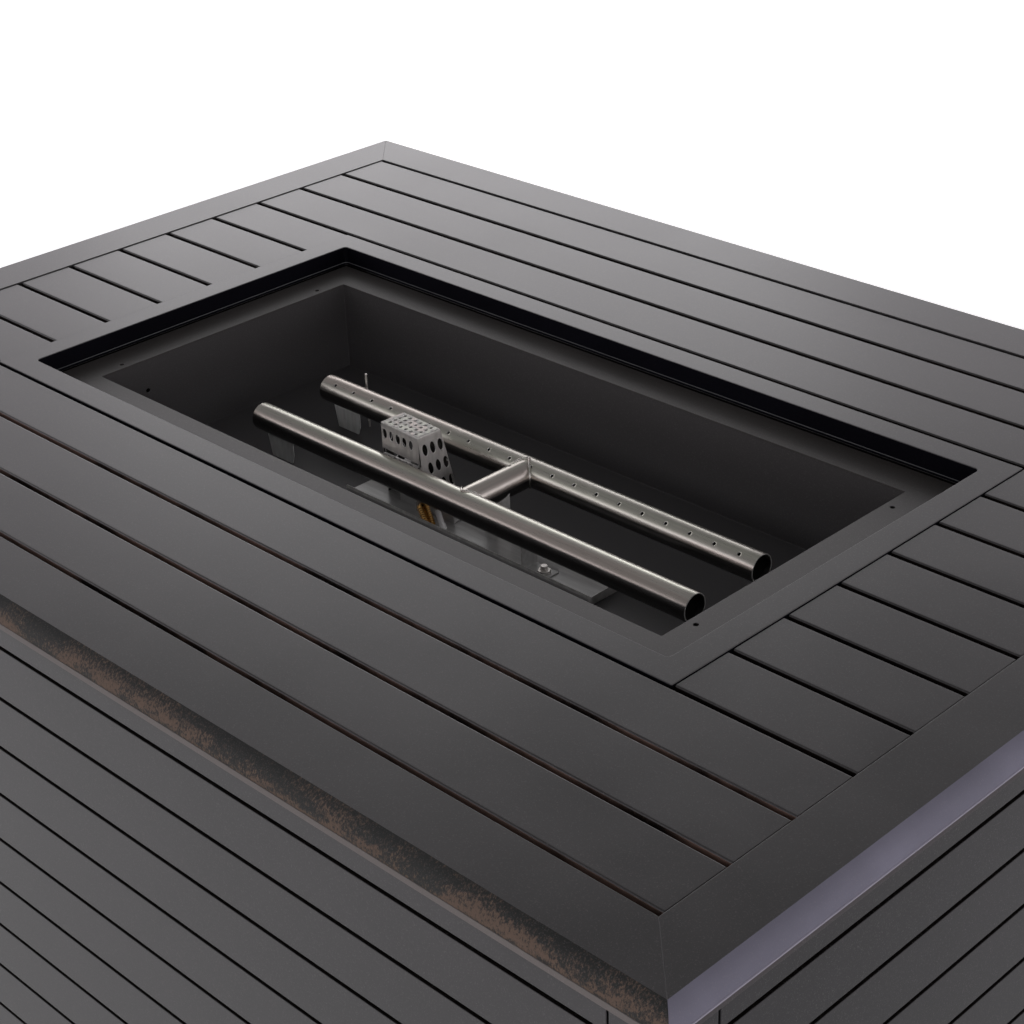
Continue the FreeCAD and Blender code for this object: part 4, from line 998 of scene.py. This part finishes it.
def plain_material(name, colour, roughness, metallic=0.0, scale=400.0, spread=0.18, bump=0.08,
                   coat=0.0):
    """Even finish with a little colour and roughness variation and a fine bump."""
    material, tree, shader = new_material(name)
    place = place_on_piece(tree)
    fine = noise_node(tree, place, scale, 3.0, 0.6)
    broad = noise_node(tree, place, scale / 30, 2.0)
    low = tuple(part * (1 - spread) for part in colour)
    high = tuple(min(part * (1 + spread), 1.0) for part in colour)
    tree.links.new(mix_colour(tree, ramp_between(tree, broad, 0.3, 0.7), low, high),
                   shader.inputs["Base Color"])
    tree.links.new(added(tree, roughness - 0.04, fine, 0.08), shader.inputs["Roughness"])
    shader.inputs["Metallic"].default_value = metallic
    if coat:
        shader.inputs["Coat Weight"].default_value = coat
    add_relief(tree, shader, fine, bump, grain_relief)
    return material


def turned_piece(outline, centre, axis, sides, material, piece_name, body, replaced,
                 smooth_deg=35.0):
    """Spins an outline of (radius, height) pairs once round the axis through the centre."""
    shape = bmesh.new()
    side = Vector((1, 0, 0)) if abs(axis.x) < 0.5 else Vector((0, 0, 1))
    verts = [shape.verts.new(centre + side * radius + axis * height) for radius, height in outline]
    edges = [shape.edges.new(pair) for pair in zip(verts, verts[1:])]
    bmesh.ops.spin(shape, geom=verts + edges, cent=centre, axis=axis, angle=2 * math.pi,
                   steps=sides, use_merge=True)
    bmesh.ops.remove_doubles(shape, verts=shape.verts, dist=1e-6)
    bmesh.ops.recalc_face_normals(shape, faces=shape.faces)
    return shown(shape, piece_name, material, body, replaced, smooth_deg)


brass = plain_material("turned_brass", (0.62, 0.36, 0.12), 0.28, 1.0)
glazed_ceramic = plain_material("glazed_ceramic", (0.94, 0.93, 0.90), 0.18, coat=0.5)
nut_outline = [(0.0, 0.0), (6.6 * mm, 0.0)]
for i in range(nut_ribs):
    nut_outline += [(5.3 * mm, 2.0 * mm + i * rib_pitch), (6.5 * mm, 2.9 * mm + i * rib_pitch)]
nut_outline += [(5.0 * mm, 19.5 * mm), (0.0, 19.5 * mm)]
turned_piece(nut_outline, nut_foot, nut_axis, 32, brass, "brass_orifice_fitting", "root",
             ["pilot_orifice"], 25.0)
finished_copy("pilot_burner", "turned_pilot_burner", 0.3 * mm, hood_steel,
              smooth_deg=40.0, least_deg=40.0)
flame_strip = bmesh.new()
for i in range(tooth_count):
    tooth = Matrix.Translation((tooth_left + i * tooth_pitch, tooth_y, strip_z))
    bmesh.ops.create_cube(flame_strip, size=1.0, matrix=tooth @ Matrix.Diagonal(tooth_size))
bmesh.ops.create_cube(flame_strip, size=1.0,
                      matrix=Matrix.Translation(bar_place) @ Matrix.Diagonal(bar_size))
round_edges(flame_strip, flame_strip.edges[:], 0.3 * mm)
shown(flame_strip, "pilot_flame_strip", cut_steel_highlight, "root", [], 30.0)
finished_copy("pilot_bracket", "pilot_bracket_strip", 0.2 * mm, plate_steel)
sleeve_outline = [
    (0.0, 0.0), (3.2 * mm, 0.0), (3.4 * mm, 0.4 * mm), (3.4 * mm, 5.0 * mm), (2.9 * mm, 5.6 * mm),
    (2.9 * mm, 16.0 * mm), (2.2 * mm, sleeve_length), (0.0, sleeve_length),
]
turned_piece(sleeve_outline, sleeve_foot, sleeve_axis, 32, glazed_ceramic, "ceramic_sleeve",
             "root", ["electrode_ceramic"])
wire_outline = [(0.0, 0.0), (0.9 * mm, 0.0), (0.9 * mm, 10.6 * mm), (0.5 * mm, 11.0 * mm),
                (0.0, 11.0 * mm)]
turned_piece(wire_outline, sleeve_foot + sleeve_axis * (sleeve_length - 0.2 * mm), sleeve_axis, 16,
             bolt_steel, "spark_wire", "root", ["spark_electrode"])
finished_copy("flame_sensor", "sensor_tip", 0.2 * mm, bolt_steel,
              least_deg=40.0)


# Gas train
# Venturi mixer under the pan, bent steel pipes from the valve, a brass valve body with its
# spring cup and spindle, and the brass hose inlet.
zinc = plain_material("zinc_plate", (0.55, 0.55, 0.52), 0.34, 1.0, 120.0)
finished_copy("air_mixer", "air_mixer_body", 0.6 * mm, zinc)
for name in ("burner", "pilot"):
    finished_copy(name + "_feed_pipe", name + "_gas_pipe", 0.0, zinc, smooth_deg=40.0)
finished_copy("valve_body", "brass_valve_body", 0.5 * mm, brass, least_deg=40.0)
finished_copy("valve_spring_cup", "spring_cup", 0.2 * mm, zinc, "knob_press",
              least_deg=40.0)
finished_copy("valve_stem", "valve_spindle", 0.2 * mm, zinc, "knob",
              least_deg=40.0)
finished_copy("hose_inlet", "brass_hose_inlet", 0.4 * mm, brass, least_deg=40.0)


# Cabinet
# Corner posts, rails and uprights of aluminium tube are welded into a frame, and hollow slats
# close its sides. All of it has the bronze coat. The narrow faces of the slats in the gaps are
# painted dark as shade, and the end sides and the posts' end faces are painted darker than the
# front and back as shade.
cabinet_dark = (0.0200, 0.0186, 0.0203)
cabinet_light = (0.0285, 0.0265, 0.0287)


def cabinet_gap_shade_tones(tree, dark, light):
    """Painted shade: the narrow upper and lower faces of each slat, in the gaps, are darker than
    its broad face.
    """
    upward = height_of(tree, tree.nodes.new("ShaderNodeNewGeometry").outputs["Normal"])
    edge = ramp_between(tree, math_node(tree, "ABSOLUTE", upward), 0.75, 0.95)
    return *toned(tree, edge, dark, light, gap_shade_tone), 0.0


cabinet_coat = coat_material("cabinet_coat", cabinet_dark, cabinet_light, cabinet_gap_shade_tones,
                             roughness=0.34, sheen=0.36)
frame_coat = coat_material("frame_coat", (0.008, 0.0075, 0.0075), (0.012, 0.011, 0.011),
                           roughness=0.5)
# Painted shade: the same coat as the front, painted darker for the end sides.
shaded_end_coat = coat_material("shaded_end_coat", (0.0125, 0.0118, 0.0135), (0.0185, 0.0172, 0.0200),
                         cabinet_gap_shade_tones, roughness=0.36, sheen=0.14)
for name, coat in (("front", cabinet_coat), ("back", cabinet_coat), ("left", shaded_end_coat),
                   ("right", shaded_end_coat)):
    finished_copy("side_slats_" + name, "coated_side_slats_" + name, 0.6 * mm, coat)
posts = finished_copy("corner_posts", "coated_corner_posts", 0.8 * mm, cabinet_coat)
# The posts' end faces get the darker end coat, as painted shade.
coat_faces(posts, shaded_end_coat, lambda centre, normal: abs(normal.x) > 0.7)
for name in ("base_rails", "base_uprights"):
    finished_copy(name, "coated_" + name, 0.0, frame_coat)
black_coat = coat_material("black_coat", (0.012, 0.0115, 0.011), (0.02, 0.019, 0.018),
                           roughness=0.46)
finished_copy("base_floor", "slotted_floor_sheet", 0.4 * mm, black_coat)
finished_copy("bottle_stops", "bottle_foot_stops", 0.4 * mm, black_coat)


# Feet
# Moulded plugs close the posts, and a levelling foot screws into each: a round rubber pad with a
# chamfered rim on a plated threaded stem.
thread_pitch = 0.7 * mm
pad_height = 8.0 * mm
black_plastic = plain_material("black_plastic", (0.022, 0.022, 0.022), 0.45, 0.0, 900.0, bump=0.2)
foot_rubber = plain_material("foot_rubber", (0.020, 0.020, 0.020), 0.62, 0.0, 700.0, bump=0.25)
finished_copy("post_plugs", "moulded_post_plugs", 0.4 * mm, black_plastic,
              least_deg=40.0)
for name in ("front_left", "front_right", "back_left", "back_right"):
    node_name = "levelling_foot_" + name
    low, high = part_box(node_name)
    centre = Vector(((low[0] + high[0]) / 2, (low[1] + high[1]) / 2, 0))
    pad_outline = [
        (0.0, 0.0), (14.6 * mm, 0.0), (15.2 * mm, 0.6 * mm), (15.2 * mm, 3.4 * mm),
        (14.2 * mm, 4.4 * mm), (14.2 * mm, 5.0 * mm), (11.0 * mm, pad_height), (0.0, pad_height),
    ]
    foot = turned_piece(pad_outline, centre, Vector((0, 0, 1)), 48, foot_rubber,
                        "foot_pad_" + name, "foot_" + name, [node_name])
    thread = [(0.0, pad_height - 0.5 * mm), (3.9 * mm, pad_height - 0.5 * mm)]
    z = pad_height
    while z < high[2] - 2 * thread_pitch:
        thread += [(3.4 * mm, z + thread_pitch / 2), (3.95 * mm, z + thread_pitch)]
        z += thread_pitch
    thread += [(3.2 * mm, high[2]), (0.0, high[2])]
    turned_piece(thread, centre, Vector((0, 0, 1)), 24, zinc, "foot_stem_" + name,
                 "foot_" + name, [], 25.0)


# Door
# Slats like those of the cabinet on a welded tube frame, with a folded pull, a steel strike for
# the magnet catch, and two butt hinges.
hinge_low = 125.7 * mm
hinge_high = 456.2 * mm
leaf_face = 447.0 * mm
hinge_pin_x = -201.5 * mm
screw_off = 17.0 * mm
screw_step = 16.0 * mm
finished_copy("door_slats", "coated_door_slats", 0.6 * mm, cabinet_coat, "door")
finished_copy("door_frame", "coated_door_frame", 0.0, frame_coat, "door")
finished_copy("door_pull", "folded_door_pull", 0.4 * mm, black_coat, "door")
finished_copy("door_strike", "door_strike_plate", 0.2 * mm, zinc, "door")
finished_copy("door_magnet", "magnet_catch", 0.8 * mm, black_plastic)
finished_copy("hinge_fixed_leaves", "hinge_fixed_side", 0.25 * mm, frame_coat,
              least_deg=40.0)
finished_copy("hinge_door_leaves", "hinge_door_side", 0.25 * mm, frame_coat, "door",
              least_deg=40.0)
screw_head = [(0.0, 0.0), (3.1 * mm, 0.0), (2.9 * mm, 0.7 * mm), (2.0 * mm, 1.3 * mm),
              (1.0 * mm, 1.5 * mm), (1.0 * mm, 0.8 * mm), (0.0, 0.8 * mm)]
for side, x, body in (("fixed", hinge_pin_x - screw_off, "root"),
                      ("door", hinge_pin_x + screw_off, "door")):
    for level, middle in (("low", hinge_low), ("high", hinge_high)):
        for place, step in (("lower", -screw_step), ("upper", screw_step)):
            turned_piece(screw_head, Vector((x, leaf_face, middle + step)), Vector((0, 1, 0)), 20,
                         zinc, "hinge_screw_%s_%s_%s" % (side, level, place), body,
                         [], 30.0)


# Controls
# A folded tray set into the back of the cabinet holds the gas valve's knob, moulded in black
# plastic with a white line for a pointer, and the igniter with its bright push cap.
pointer_place = (300.0 * mm, 443.8 * mm, 546.0 * mm)
pointer_size = (1.8 * mm, 0.5 * mm, 9.0 * mm, 1.0)
finished_copy("control_panel", "folded_control_tray", 0.5 * mm, black_coat)
finished_copy("control_knob", "moulded_control_knob", 0.6 * mm, black_plastic,
              "knob", least_deg=40.0, segments=3)
pointer = bmesh.new()
bmesh.ops.create_cube(pointer, size=1.0, matrix=Matrix.Translation(pointer_place)
                      @ Matrix.Diagonal(pointer_size))
round_edges(pointer, pointer.edges[:], 0.15 * mm)
pointer_paint = plain_material("pointer_paint", (0.75, 0.75, 0.73), 0.5, scale=600.0)
shown(pointer, "knob_pointer_line", pointer_paint, "knob")
finished_copy("igniter_housing", "igniter_barrel", 0.4 * mm, black_plastic,
              least_deg=40.0)
finished_copy("igniter_battery", "igniter_cell", 0.4 * mm, zinc, least_deg=40.0)
bright_cap = plain_material("bright_cap", (0.70, 0.70, 0.70), 0.16, 1.0, 300.0)
finished_copy("igniter_button", "igniter_push_cap", 0.8 * mm, bright_cap,
              "igniter_cap", segments=3, least_deg=40.0)
